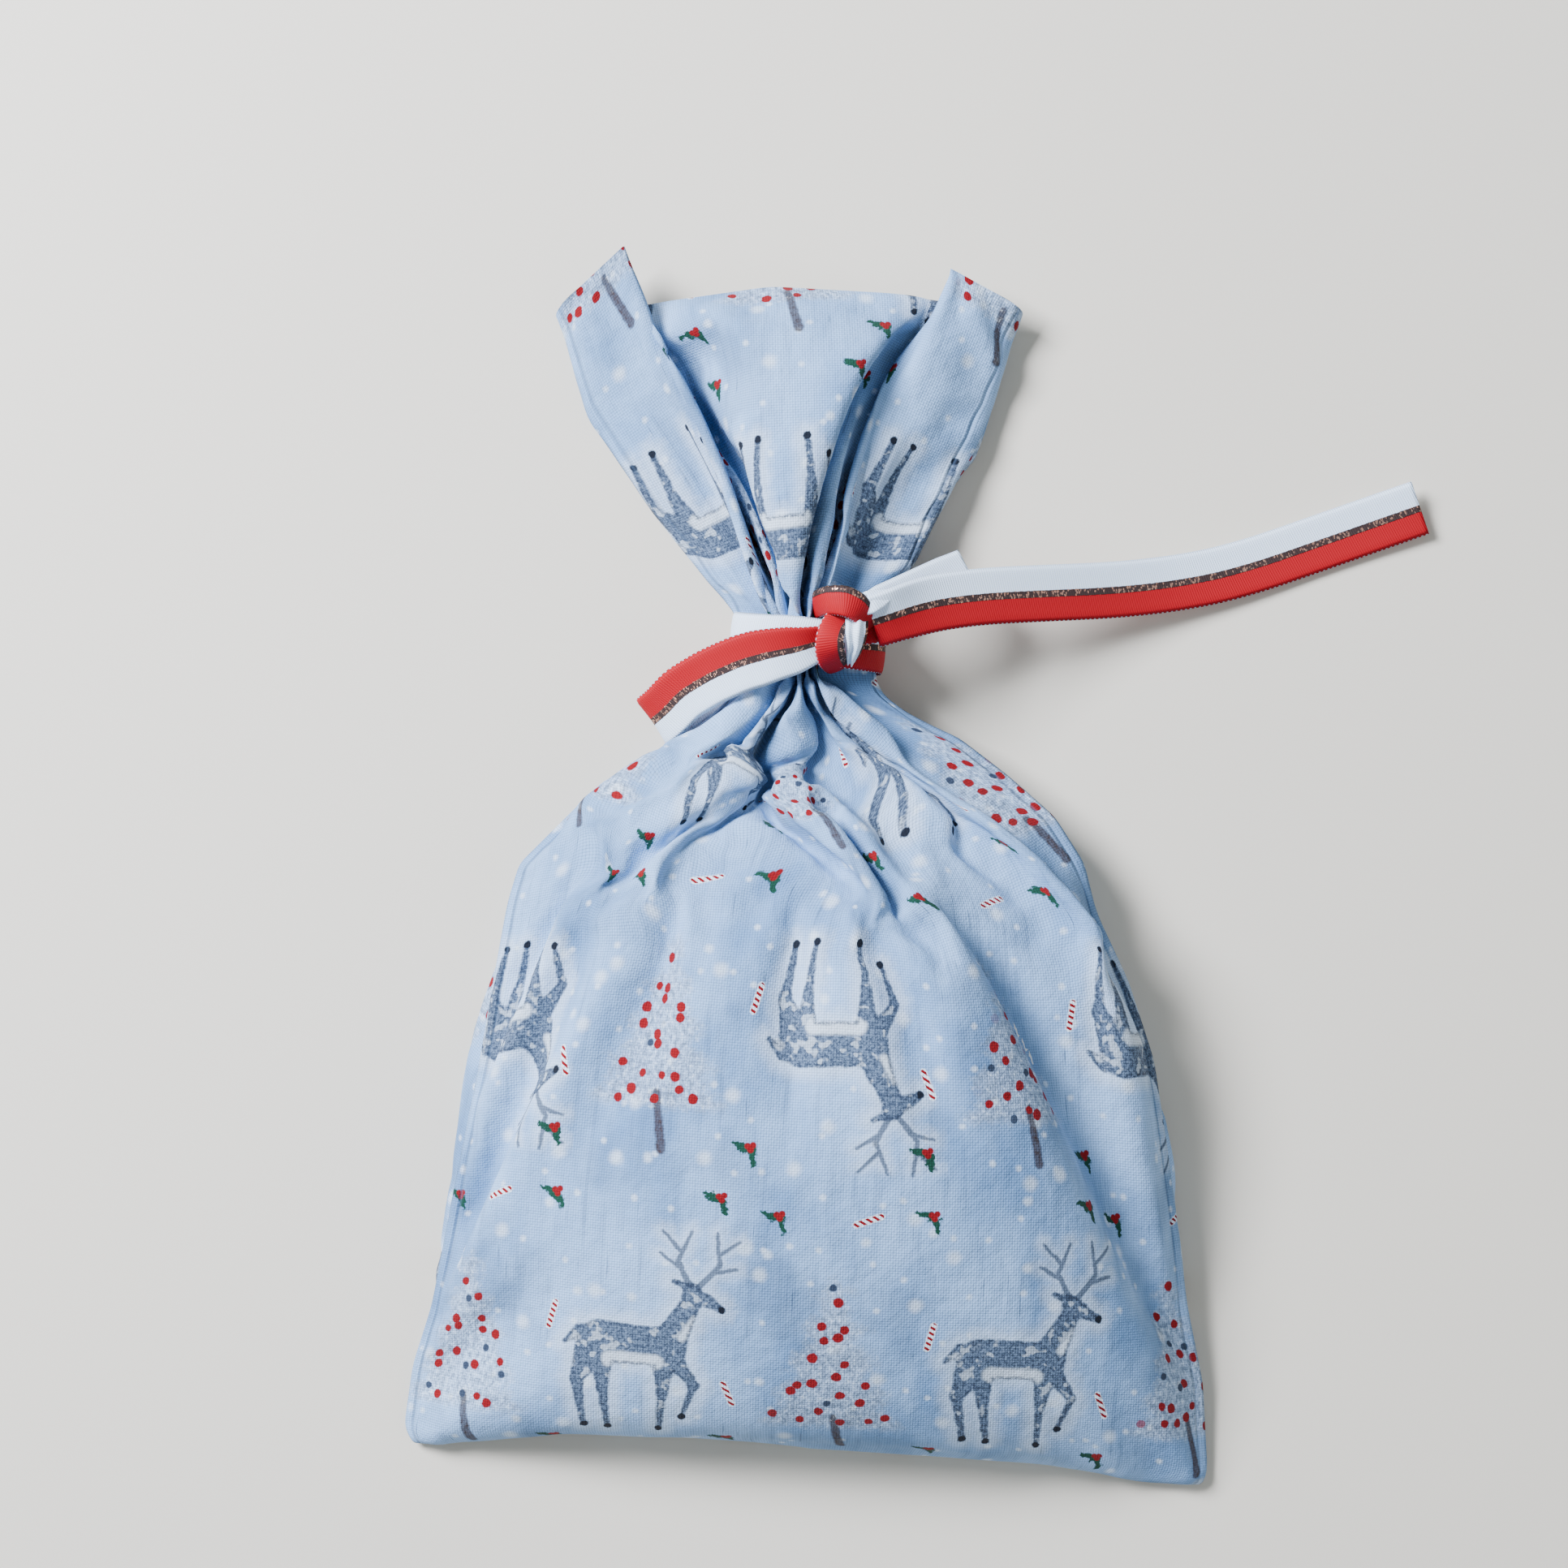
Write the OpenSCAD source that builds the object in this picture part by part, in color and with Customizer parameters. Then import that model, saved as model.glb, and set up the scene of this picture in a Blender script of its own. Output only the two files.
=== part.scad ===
/* [Pouch body] */
// Width across the two bottom corners
pouch_w = 145; // [130:1:160]
// Distance of the bottom edge below the frame's origin, at mid width
base_y = 102; // [95:1:110]
// How much lower the right bottom corner lies than the left one
base_slant = 8; // [0:0.5:12]
// How far the two bottom corners dip below the middle of the bottom edge
corner_dip = 4.5; // [0:0.5:8]
// Height of the filled pouch as it lies on its back
pouch_t = 44; // [34:1:54]
// Thickness of the printed cotton
cloth_t = 0.5; // [0.3:0.1:0.8]

/* [Neck] */
// Where the filled body ends and the gathered neck begins
neck_start_y = 28.2; // [26:0.1:29]
// Half width of the gathered neck
neck_a = 12.5; // [11:0.5:14]
// Half height of the gathered neck
neck_b = 8.6; // [7:0.1:9]
// Height of the neck's axis above the table
neck_z = 10; // [9.8:0.1:12]
// Number of pleats bunched in the neck
pleats = 16; // [10:1:22]

/* [Seams] */
// Width of the folded seam allowance inside each side
seam_w = 6; // [4:0.5:8]
// Pitch of the seam stitches
stitch_pitch = 2.8; // [2.4:0.1:4]
// Length of one seam stitch
stitch_l = 2; // [1.5:0.1:2.3]

/* [Collar] */
// Depth of the hem folded into the mouth
hem_depth = 25; // [15:1:30]
// Gap between two layers of cloth in the collar
layer_gap = 0.3; // [0.2:0.05:0.4]
// Thickness of each folded-over flap
flap_t = 3.4; // [2.8:0.1:4]

/* [Ribbon] */
// Width of the ribbon
ribbon_w = 10; // [8:0.5:12]
// Thickness of the ribbon
ribbon_t = 0.6; // [0.4:0.1:0.8]
// Clearance between the tight turn and the neck
wrap_gap = 0.5; // [0.4:0.1:0.8]

/* [Hidden] */

cotton = "lightsteelblue";
cotton_inside = "gainsboro";
thread = "white";
ribbon_red = "crimson";
ribbon_white = "whitesmoke";

// Half width of the body as a share of the half width at the corners, from the bottom edge to the neck
width_profile = [[0, 0.91], [0.02, 0.975], [0.05, 1], [0.12, 0.98], [0.21, 0.94], [0.37, 0.885],
    [0.51, 0.83], [0.64, 0.78], [0.74, 0.725], [0.8, 0.69], [0.85, 0.61], [0.905, 0.505],
    [0.955, 0.35], [1, 0.18]];
// Height of the body's ridge as a share of its full height, from the bottom edge to the neck
height_profile = [[0, 0], [0.03, 0.33], [0.08, 0.6], [0.2, 0.9], [0.35, 1], [0.6, 1], [0.75, 0.93],
    [0.85, 0.72], [0.93, 0.5], [1, 0.42]];

// Collar outline, from the left end of the neck round the mouth to the right end
collar_outline = [[-12.5, 50.5], [-20, 55], [-27.5, 62.5], [-39, 80], [-45, 98], [-27, 100.5],
    [-6.5, 103], [21, 101], [38.5, 98.4], [33.5, 83], [27, 68], [20, 55.5], [12.5, 50.5]];
mouth_y = 103;
// The left flap, its inner slot, the hem facing in that slot and the fold at the flap's base
left_flap_outline = [[-44.2, 97.9], [-32, 110.5], [-23, 86.5], [-14, 68.5], [-10.2, 58.3]];
left_slot = [[-30, 83], [-42, 97.2], [-44, 101.5], [-34.6, 110.9], [-24.4, 87.4]];
left_facing = [[-29.9, 84.2], [-41.4, 97.8], [-41.6, 99.6], [-34, 107.4], [-25.4, 87.9]];
left_fold = [[-44.6, 97.3], [-10.9, 58], [-13, 54], [-20, 55.5], [-27.5, 62.5], [-39, 80]];
// The right flap, its inner slot, the hem facing in that slot and the fold at the flap's base
right_flap_outline = [[38.2, 98.3], [24.6, 106.2], [19.6, 92.9], [13, 82.8], [5.8, 62.5],
    [4.8, 58.4]];
right_slot = [[25.5, 84.5], [36.6, 97.8], [38.2, 101.5], [26.6, 107.8], [21.6, 93], [17.2, 85]];
right_facing = [[25.2, 85.8], [35.6, 98], [35.4, 98.9], [27.2, 103.6], [22.6, 92.8], [18.4, 85.9]];
right_fold = [[38.3, 97], [33.5, 83], [27, 68], [20, 55.5], [13, 53.5], [5.3, 57.8]];

// Stack of flat layers in the collar, each one above the last
collar_back_z = 0;
back_facing_z = cloth_t + layer_gap;
front_facing_z = 2 * (cloth_t + layer_gap);
collar_front_z = 3 * (cloth_t + layer_gap);
flap_z = 4 * (cloth_t + layer_gap) + layer_gap;
slot_lift = 1;
slot_t = 1.4;
facing_t = 0.6;
facing_lift = 1.4;

// Tight turn of ribbon, lying a little askew round the neck
wrap_y = 37.6;
wrap_tilt = -10;
wrap_a = neck_a + wrap_gap + 0.3;
wrap_b = neck_b + wrap_gap - 0.1;

// The knot sits on top of the tight turn
knot_x = 6.5;
knot_z = neck_z + wrap_b + ribbon_t + 0.8;

// Loose strand: centre line points, each with the direction across the ribbon's width
loop_points = [[0.8, 39.3, 21.2], [-6.5, 38.2, 20.6], [-15, 35.6, 18.8], [-22, 32.2, 15.5],
    [-26.5, 29.6, 12], [-28.5, 28.2, 9.5], [-28, 28.4, 7], [-25, 30, 5.6], [-20, 32.4, 5.4],
    [-14.6, 34.8, 6]];
loop_across = [[0.05, 1, 0], [0.15, 1, 0], [0.3, 0.95, 0], [0.42, 0.9, 0], [0.52, 0.85, 0],
    [0.55, 0.83, 0], [0.52, 0.85, 0], [0.5, 0.86, 0], [0.42, 0.9, 0], [0.4, 0.92, 0]];

// Short tail under the long one
short_tail_points = [[12, 40.6, 19.2], [17, 43.2, 17], [23, 46, 14.6], [30, 49.4, 12.2]];
short_tail_across = [[-0.42, 0.9, 0], [-0.42, 0.9, 0], [-0.42, 0.9, 0], [-0.42, 0.9, 0]];

// Long tail from the knot to its cut end
long_tail_points = [[14, 44.2, 21.4], [16, 45, 20.4], [19, 46, 18.8], [23, 47, 17],
    [30, 48, 14.6], [37, 48.5, 12.2], [44, 48.9, 9.8], [51, 49.3, 7.4], [58, 49.9, 5.2],
    [65, 50.8, 3.4], [73, 52.3, 2.2], [81, 54.6, 1.6], [89, 57.4, 1.4], [97, 60.2, 1.6],
    [103, 62.3, 2], [109, 64.4, 2.6]];
cord_sides = 8;
tube_t = 0.9;

function lerp(a, b, t) = a + (b - a) * t;

// Bottom edge, slanted and dipping at its corners; s runs from -1 at the left to 1 at the right
function bottom_y(s) = -base_y - base_slant / 2 * s - corner_dip * s * s;

// Point of the body's footprint: s across, v from the bottom edge to the neck, set in by inset
function plan(s, v, inset) =
    let (half = pouch_w / 2 * lookup(v, width_profile) - inset, low = bottom_y(s) + inset)
    [s * half, lerp(low, neck_start_y, v)];

// Share of the full height at s across the body
function crown(s) = pow(1 - pow(abs(s), 2.2), 0.6);

// Point of the crowned skin, set in from the outer skin by inset
function skin(s, v, inset, floor_z) =
    let (p = plan(s, v, inset), top = pouch_t - inset - floor_z)
    [p[0], p[1], floor_z + top * lookup(v, height_profile) * crown(s)];

// Triangles of a grid with the given number of rows and columns of points
function grid_faces(rows, cols, start, flip) = [
    for (r = [0 : rows - 2], c = [0 : cols - 2])
        let (a = start + r * cols + c, b = a + 1, d = a + cols, e = d + 1)
        each flip ? [[a, b, e], [a, e, d]] : [[a, e, b], [a, d, e]]];

// The border of such a grid, as a closed list of point numbers
function grid_border(rows, cols) = concat(
    [for (c = [0 : cols - 1]) c],
    [for (r = [1 : rows - 1]) r * cols + cols - 1],
    [for (c = [cols - 2 : -1 : 0]) (rows - 1) * cols + c],
    [for (r = [rows - 2 : -1 : 1]) r * cols]);

// Closed solid between an upper and a lower grid of points
module between_grids(upper, lower, rows, cols) {
    border = grid_border(rows, cols);
    n = len(border);
    count = rows * cols;
    rim = [for (i = [0 : n - 1])
        let (a = border[i], b = border[(i + 1) % n])
        each [[a, b, b + count], [a, b + count, a + count]]];
    polyhedron(points = concat(upper, lower),
        faces = concat(grid_faces(rows, cols, 0, false), grid_faces(rows, cols, count, true), rim));
}

// Flat band swept along a list of points, with the direction across it given at each point
module band(points, across, width, thick) {
    n = len(points);
    function along(i) = points[min(i + 1, n - 1)] - points[max(i - 1, 0)];
    function unit(v) = v / norm(v);
    corners = [for (i = [0 : n - 1])
        let (side = unit(across[i]), up = unit(cross(along(i), side)))
        for (k = [[-1, -1], [1, -1], [1, 1], [-1, 1]])
            points[i] + side * k[0] * width / 2 + up * k[1] * thick / 2];
    walls = [for (i = [0 : n - 2], k = [0 : 3])
        let (a = 4 * i + k, b = 4 * i + (k + 1) % 4)
        each [[a, b + 4, b], [a, a + 4, b + 4]]];
    last = 4 * (n - 1);
    ends = [[0, 1, 2], [0, 2, 3], [last, last + 2, last + 1], [last, last + 3, last + 2]];
    polyhedron(points = corners, faces = concat(walls, ends));
}

// Flattened tube swept along a free ribbon's route, its width level with the table
module ribbon_tube(points, width, thick, sides) {
    n = len(points);
    function along(i) = points[min(i + 1, n - 1)] - points[max(i - 1, 0)];
    function unit(v) = v / norm(v);
    rings = [for (i = [0 : n - 1])
        let (side = unit(cross([0, 0, 1], along(i))), up = unit(cross(along(i), side)))
        for (k = [0 : sides - 1])
            let (a = 360 * (k + 0.5) / sides)
            points[i] + side * cos(a) * width / 2 + up * sin(a) * thick / 2];
    walls = [for (i = [0 : n - 2], k = [0 : sides - 1])
        let (a = sides * i + k, b = sides * i + (k + 1) % sides)
        each [[a, b, b + sides], [a, b + sides, a + sides]]];
    last = sides * (n - 1);
    ends = [for (k = [1 : sides - 2]) each [[0, k + 1, k], [last, last + k, last + k + 1]]];
    polyhedron(points = rings, faces = concat(walls, ends));
}

// Elliptical band outline between two angles
function arch(a, b, thick, from, to, steps) = concat(
    [for (i = [0 : steps]) let (t = lerp(from, to, i / steps)) [a * cos(t), b * sin(t)]],
    [for (i = [steps : -1 : 0]) let (t = lerp(from, to, i / steps))
        [(a + thick) * cos(t), (b + thick) * sin(t)]]);

// Printed front of the body, a crowned skin open to the neck
module front_panel() {
    rows = 31;
    cols = 25;
    heights = [for (r = [0 : rows - 1], c = [0 : cols - 1]) [2 * c / (cols - 1) - 1, r / (rows - 1)]];
    color(cotton)
        between_grids([for (h = heights) skin(h[0], h[1], 0, cloth_t)],
            [for (h = heights) skin(h[0], h[1], cloth_t, cloth_t)], rows, cols);
}

// Back of the body, lying flat on the table
module back_panel() {
    steps = 30;
    edge = concat(
        [for (i = [0 : steps]) plan(-1 + 2 * i / steps, 0, 0)],
        [for (i = [1 : steps]) plan(1, i / steps, 0)],
        [for (i = [steps : -1 : 1]) plan(-1, i / steps, 0)]);
    color(cotton)
        linear_extrude(cloth_t) polygon(edge);
}

// Soft contents that fill the body
module gift_bundle() {
    rows = 21;
    cols = 19;
    inset = 9;
    first = 0.1;
    last = 0.84;
    floor_z = cloth_t + layer_gap + 1.8;
    places = [for (r = [0 : rows - 1], c = [0 : cols - 1])
        [2 * c / (cols - 1) - 1, lerp(first, last, r / (rows - 1)), sin(180 * r / (rows - 1))]];
    color("ivory")
        between_grids([for (h = places) let (p = skin(h[0], h[1], inset, floor_z))
                [p[0], p[1], lerp(floor_z + 1, p[2] + inset - 3, pow(h[2], 0.4) * crown(h[0]))]],
            [for (h = places) let (p = plan(h[0], h[1], inset)) [p[0], p[1], floor_z]], rows, cols);
}

// Doubled seam allowance inside one side; side is -1 on the left and 1 on the right
module seam_allowance(side) {
    steps = 20;
    first = 0.07;
    last = 0.8;
    outer = 1.5;
    color(cotton_inside)
        translate([0, 0, cloth_t + layer_gap])
            linear_extrude(2 * cloth_t)
                polygon(concat(
                    [for (i = [0 : steps]) plan(side, lerp(first, last, i / steps), outer)],
                    [for (i = [steps : -1 : 0]) plan(side, lerp(first, last, i / steps), outer + seam_w)]));
}

module left_seam_allowance() {
    seam_allowance(-1);
}

module right_seam_allowance() {
    seam_allowance(1);
}

// Row of stitches that closes one side, on top of its seam allowance
module seam_stitching(side) {
    first = 0.09;
    last = 0.78;
    inset = 4;
    thread_w = 0.5;
    thread_t = 0.3;
    run = norm(plan(side, last, inset) - plan(side, first, inset));
    count = floor(run / stitch_pitch);
    color(thread)
        for (i = [0 : count - 1]) {
            a = plan(side, lerp(first, last, i / count), inset);
            b = plan(side, lerp(first, last, (i + 1) / count), inset);
            d = b - a;
            translate([a[0], a[1], 3 * cloth_t + layer_gap])
                rotate([0, 0, atan2(d[1], d[0])])
                    translate([0, -thread_w / 2, 0])
                        cube([stitch_l, thread_w, thread_t]);
        }
}

module left_seam_stitching() {
    seam_stitching(-1);
}

module right_seam_stitching() {
    seam_stitching(1);
}

// Both panels bunched into pleats under the ribbon
module neck_gathers() {
    end_y = 46.5;
    gap = 0.3;
    valley = 0.84;
    points_per_pleat = 6;
    n = pleats * points_per_pleat;
    ring = [for (i = [0 : n - 1])
        let (t = 360 * i / n, r = lerp(valley, 1, (1 + cos(pleats * t)) / 2))
        [neck_a * r * cos(t), neck_b * r * sin(t)]];
    color(cotton)
        translate([0, end_y, neck_z])
            rotate([90, 0, 0])
                linear_extrude(end_y - neck_start_y - gap) polygon(ring);
}

// One flat layer of the collar
module collar_layer(z) {
    translate([0, 0, z])
        linear_extrude(cloth_t) polygon(collar_outline);
}

// The strip of the collar that the folded-in hem covers
module hem_layer(z) {
    side_gap = 3;
    top_gap = 4;
    translate([0, 0, z])
        linear_extrude(cloth_t)
            polygon([[-40 + side_gap, mouth_y - top_gap - hem_depth], [-44 + side_gap, mouth_y - 2 * top_gap],
                [-6.5, mouth_y - 1], [21, mouth_y - top_gap], [37 - side_gap, mouth_y - 2 * top_gap],
                [31 - side_gap, mouth_y - top_gap - hem_depth]]);
}

module collar_back() {
    color(cotton) collar_layer(collar_back_z);
}

module back_hem_facing() {
    color(cotton_inside) hem_layer(back_facing_z);
}

module front_hem_facing() {
    color(cotton_inside) hem_layer(front_facing_z);
}

// Front layer of the collar, with the doubled cloth at the base of each flap
module collar_front() {
    color(cotton) {
        collar_layer(collar_front_z);
        for (fold = [left_fold, right_fold])
            translate([0, 0, collar_front_z])
                linear_extrude(flap_z + flap_t - collar_front_z) polygon(fold);
    }
}

// A flap of doubled cloth folded over the collar, with a slot for its own hem facing
module flap(outline, slot) {
    translate([0, 0, flap_z])
        difference() {
            linear_extrude(flap_t) polygon(outline);
            translate([0, 0, slot_lift])
                linear_extrude(slot_t) polygon(slot);
        }
}

module left_flap() {
    color(cotton) flap(left_flap_outline, left_slot);
}

module right_flap() {
    color(cotton) flap(right_flap_outline, right_slot);
}

module flap_facing(outline) {
    translate([0, 0, flap_z + facing_lift])
        linear_extrude(facing_t) polygon(outline);
}

module left_flap_facing() {
    color(cotton_inside) flap_facing(left_facing);
}

module right_flap_facing() {
    color(cotton_inside) flap_facing(right_facing);
}

// Tight turn of ribbon round the neck
module ribbon_wrap() {
    steps = 60;
    color(ribbon_red)
        translate([0, wrap_y, neck_z])
            rotate([90, 0, wrap_tilt])
                translate([0, 0, -ribbon_w / 2])
                    linear_extrude(ribbon_w)
                        difference() {
                            polygon([for (i = [0 : steps - 1]) let (t = 360 * i / steps)
                                [(wrap_a + ribbon_t) * cos(t), (wrap_b + ribbon_t) * sin(t)]]);
                            polygon([for (i = [0 : steps - 1]) let (t = 360 * i / steps)
                                [wrap_a * cos(t), wrap_b * sin(t)]]);
                        }
}

// Loose strand from the knot out to the left, folded under and back to the neck
module ribbon_loop() {
    color(ribbon_red) band(loop_points, loop_across, ribbon_w, ribbon_t);
}

// Crumpled middle of the knot
module knot_core() {
    r = 2.3;
    stretch = 3.1;
    steps = 16;
    color(ribbon_white)
        translate([8.2, 39.6, knot_z + r])
            rotate([90, 0, 0])
                rotate_extrude($fn = 32)
                    polygon([for (i = [0 : steps]) let (t = -90 + 180 * i / steps)
                        [i == 0 || i == steps ? 0 : r * cos(t), stretch * sin(t)]]);
}

// Strand that passes over the top of the knot
module knot_strap() {
    near_y = 43.2;
    far_y = 49;
    color(ribbon_red)
        translate([knot_x, far_y, knot_z - 0.2])
            rotate([90, 0, 0])
                linear_extrude(far_y - near_y) polygon(arch(4.2, 4.8, 0.7, 0, 180, 24));
}

// Strand that turns round the left of the knot
module knot_turn() {
    low_x = 1.4;
    high_x = 5.6;
    color(ribbon_red)
        translate([low_x, 39.2, knot_z - 0.2])
            rotate([90, 0, 90])
                linear_extrude(high_x - low_x) polygon(arch(2.9, 3.4, 0.7, 0, 180, 20));
}

module short_tail() {
    color(ribbon_white) band(short_tail_points, short_tail_across, ribbon_w, ribbon_t);
}

module long_tail() {
    color(ribbon_red) ribbon_tube(long_tail_points, ribbon_w, tube_t, cord_sides);
}

front_panel();
back_panel();
gift_bundle();
left_seam_allowance();
right_seam_allowance();
left_seam_stitching();
right_seam_stitching();
neck_gathers();
collar_back();
back_hem_facing();
front_hem_facing();
collar_front();
left_flap();
left_flap_facing();
right_flap();
right_flap_facing();
ribbon_wrap();
ribbon_loop();
knot_core();
knot_strap();
knot_turn();
short_tail();
long_tail();
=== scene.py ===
import math
import bpy
import numpy as np
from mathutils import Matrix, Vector


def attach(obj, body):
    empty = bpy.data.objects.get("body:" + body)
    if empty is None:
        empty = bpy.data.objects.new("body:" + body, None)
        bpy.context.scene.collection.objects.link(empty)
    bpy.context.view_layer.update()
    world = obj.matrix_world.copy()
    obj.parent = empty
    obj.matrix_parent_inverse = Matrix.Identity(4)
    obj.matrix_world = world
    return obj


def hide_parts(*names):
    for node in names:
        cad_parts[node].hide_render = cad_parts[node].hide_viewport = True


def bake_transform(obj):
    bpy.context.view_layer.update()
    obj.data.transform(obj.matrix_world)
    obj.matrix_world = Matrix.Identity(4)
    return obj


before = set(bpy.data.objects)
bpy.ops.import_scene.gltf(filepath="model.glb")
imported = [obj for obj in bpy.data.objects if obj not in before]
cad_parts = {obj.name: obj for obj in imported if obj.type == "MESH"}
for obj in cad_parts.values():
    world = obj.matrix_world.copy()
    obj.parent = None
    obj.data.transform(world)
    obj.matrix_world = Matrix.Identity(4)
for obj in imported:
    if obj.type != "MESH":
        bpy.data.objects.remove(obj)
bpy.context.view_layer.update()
scene = bpy.context.scene
mm = 0.001
print("frame loaded")

# camera, table and light
studio = {
    "centre": (-0.0042, 0.0152),   # point of the table under the camera
    "height": 0.75,
    "seen": 0.28,                  # width of table in view
    "floorColour": (0.745, 0.675, 0.555, 1),
    "lightColour": (0.93, 1.0, 1.16),
    "keyPower": 33.5, "keySize": 0.40, "keyPlace": (-0.62, 0.45, 0.68),
    "fillPower": 2.2, "fillSize": 0.9, "fillPlace": (0.6, -0.35, 0.7),
    "skyColour": (0.80, 0.91, 1.0, 1), "skyPower": 0.36,
}


def aimAt(thing, place, target):
    thing.location = place
    thing.rotation_euler = (Vector(target) - Vector(place)).to_track_quat("-Z", "Y").to_euler()


def areaLight(name, place, power, size):
    lamp = bpy.data.lights.new(name, "AREA")
    lamp.energy, lamp.size, lamp.color = power, size, studio["lightColour"]
    thing = bpy.data.objects.new(name, lamp)
    scene.collection.objects.link(thing)
    aimAt(thing, place, (0, 0, 0))


def deselect():
    for thing in bpy.context.selected_objects:
        thing.select_set(False)


cameraData = bpy.data.cameras.new("tableCamera")
cameraData.sensor_width = 36
cameraData.lens = 36 * studio["height"] / studio["seen"]
camera = bpy.data.objects.new("tableCamera", cameraData)
scene.collection.objects.link(camera)
camera.location = (studio["centre"][0], studio["centre"][1], studio["height"])
scene.camera = camera
areaLight("keyLight", studio["keyPlace"], studio["keyPower"], studio["keySize"])
areaLight("fillLight", studio["fillPlace"], studio["fillPower"], studio["fillSize"])
sky = bpy.data.worlds.new("softSky")
scene.world = sky
sky.use_nodes = True
sky.node_tree.nodes["Background"].inputs[0].default_value = studio["skyColour"]
sky.node_tree.nodes["Background"].inputs[1].default_value = studio["skyPower"]
deselect()
bpy.ops.mesh.primitive_plane_add(size=6, location=(0, 0, 0))
table = bpy.context.object
table.name = "tableTop"
print("camera, table and light ready")


# shader maths
class Signal:
    # one socket of a node tree, with the usual arithmetic
    def __init__(self, net, socket, vector=False):
        self.net, self.socket, self.vector = net, socket, vector

    def do(self, operation, *others):
        return self.net.maths(operation, self, *others)

    def __add__(self, other): return self.do("ADD", other)
    def __radd__(self, other): return self.net.maths("ADD", other, self)
    def __sub__(self, other): return self.do("SUBTRACT", other)
    def __rsub__(self, other): return self.net.maths("SUBTRACT", other, self)
    def __mul__(self, other): return self.do("MULTIPLY", other)
    def __rmul__(self, other): return self.net.maths("MULTIPLY", other, self)
    def __truediv__(self, other): return self.do("DIVIDE", other)
    def __abs__(self): return self.do("ABSOLUTE")
    def __pow__(self, other): return self.do("POWER", other)


class Net:
    # a material's node tree
    def __init__(self, name):
        self.material = bpy.data.materials.new(name)
        self.material.use_nodes = True
        self.tree = self.material.node_tree
        self.shader = self.tree.nodes["Principled BSDF"]

    def node(self, kind, settings=None, sockets=None):
        made = self.tree.nodes.new("ShaderNode" + kind)
        for name, value in (settings or {}).items():
            setattr(made, name, value)
        for name, value in (sockets or {}).items():
            self.put(made.inputs[name], value)
        return made

    def put(self, socket, value):
        if isinstance(value, Signal):
            self.tree.links.new(value.socket, socket)
        elif hasattr(socket.default_value, "__len__") and not hasattr(value, "__len__"):
            socket.default_value = [value] * len(socket.default_value)
        else:
            socket.default_value = value

    def maths(self, operation, *values):
        if any(isinstance(v, Signal) and v.vector for v in values):
            made = self.node("VectorMath", {"operation": operation}, dict(enumerate(values)))
            flat = operation in ("LENGTH", "DOT_PRODUCT", "DISTANCE")
            return Signal(self, made.outputs["Value" if flat else "Vector"], not flat)
        made = self.node("Math", {"operation": operation}, dict(enumerate(values)))
        return Signal(self, made.outputs[0])

    def scale(self, vector, factor):
        made = self.node("VectorMath", {"operation": "SCALE"}, {0: vector, "Scale": factor})
        return Signal(self, made.outputs[0], True)

    def clamp(self, value):
        made = self.node("Math", {"operation": "MULTIPLY", "use_clamp": True}, {0: value, 1: 1.0})
        return Signal(self, made.outputs[0])

    def ramp(self, value, low, high, start=0.0, end=1.0):
        settings = {"interpolation_type": "SMOOTHSTEP"}
        made = self.node("MapRange", settings, {0: value, 1: low, 2: high, 3: start, 4: end})
        return Signal(self, made.outputs[0])

    def blend(self, factor, first, second):
        made = self.node("Mix", {"data_type": "RGBA"}, {0: factor, 6: first, 7: second})
        return Signal(self, made.outputs[2], True)

    def noise(self, vector, scale, detail=2.0, rough=0.5):
        sockets = {"Vector": vector, "Scale": scale, "Detail": detail, "Roughness": rough}
        return Signal(self, self.node("TexNoise", {}, sockets).outputs[0])

    def cells(self, vector, scale, random=1.0):
        settings = {"voronoi_dimensions": "2D"}
        return self.node("TexVoronoi", settings, {"Vector": vector, "Scale": scale, "Randomness": random})

    def point(self, x, y, z=0.0):
        made = self.node("CombineXYZ", {}, {0: x, 1: y, 2: z})
        return Signal(self, made.outputs[0], True)

    def uv(self):
        coordinates = Signal(self, self.node("UVMap", {"uv_map": "cloth"}).outputs[0], True)
        return self.part(coordinates, 0), self.part(coordinates, 1)

    def bump(self, height, depth, strength):
        sockets = {"Height": height, "Distance": depth, "Strength": strength}
        return Signal(self, self.node("Bump", {}, sockets).outputs[0], True)

    def part(self, vector, index=0):
        return Signal(self, self.node("SeparateXYZ", {}, {0: vector}).outputs[index])

    def shareOf(self, cells):
        # a random number of 0 to 1 for each cell
        parts = self.node("SeparateColor", {}, {0: Signal(self, cells.outputs["Color"], True)})
        return Signal(self, parts.outputs[0])

    def finish(self, **sockets):
        for name, value in sockets.items():
            self.put(self.shader.inputs[name.replace("_", " ")], value)
        return self.material


def capsule(net, place, a, b, start, end=None):
    # distance from a rounded bar that may taper, negative inside
    step = (b[0] - a[0], b[1] - a[1], 0.0)
    away = place - (a[0], a[1], 0.0)
    along = net.clamp(away.do("DOT_PRODUCT", step) * (1 / (step[0] ** 2 + step[1] ** 2)))
    end = start if end is None else end
    return (away - net.scale(step, along)).do("LENGTH") - (along * (end - start) + start)


def joined(shapes, melt=0.0):
    # one shape made of several
    whole = shapes[0]
    for shape in shapes[1:]:
        whole = whole.do("SMOOTH_MIN", shape, melt) if melt else whole.do("MINIMUM", shape)
    return whole


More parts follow.
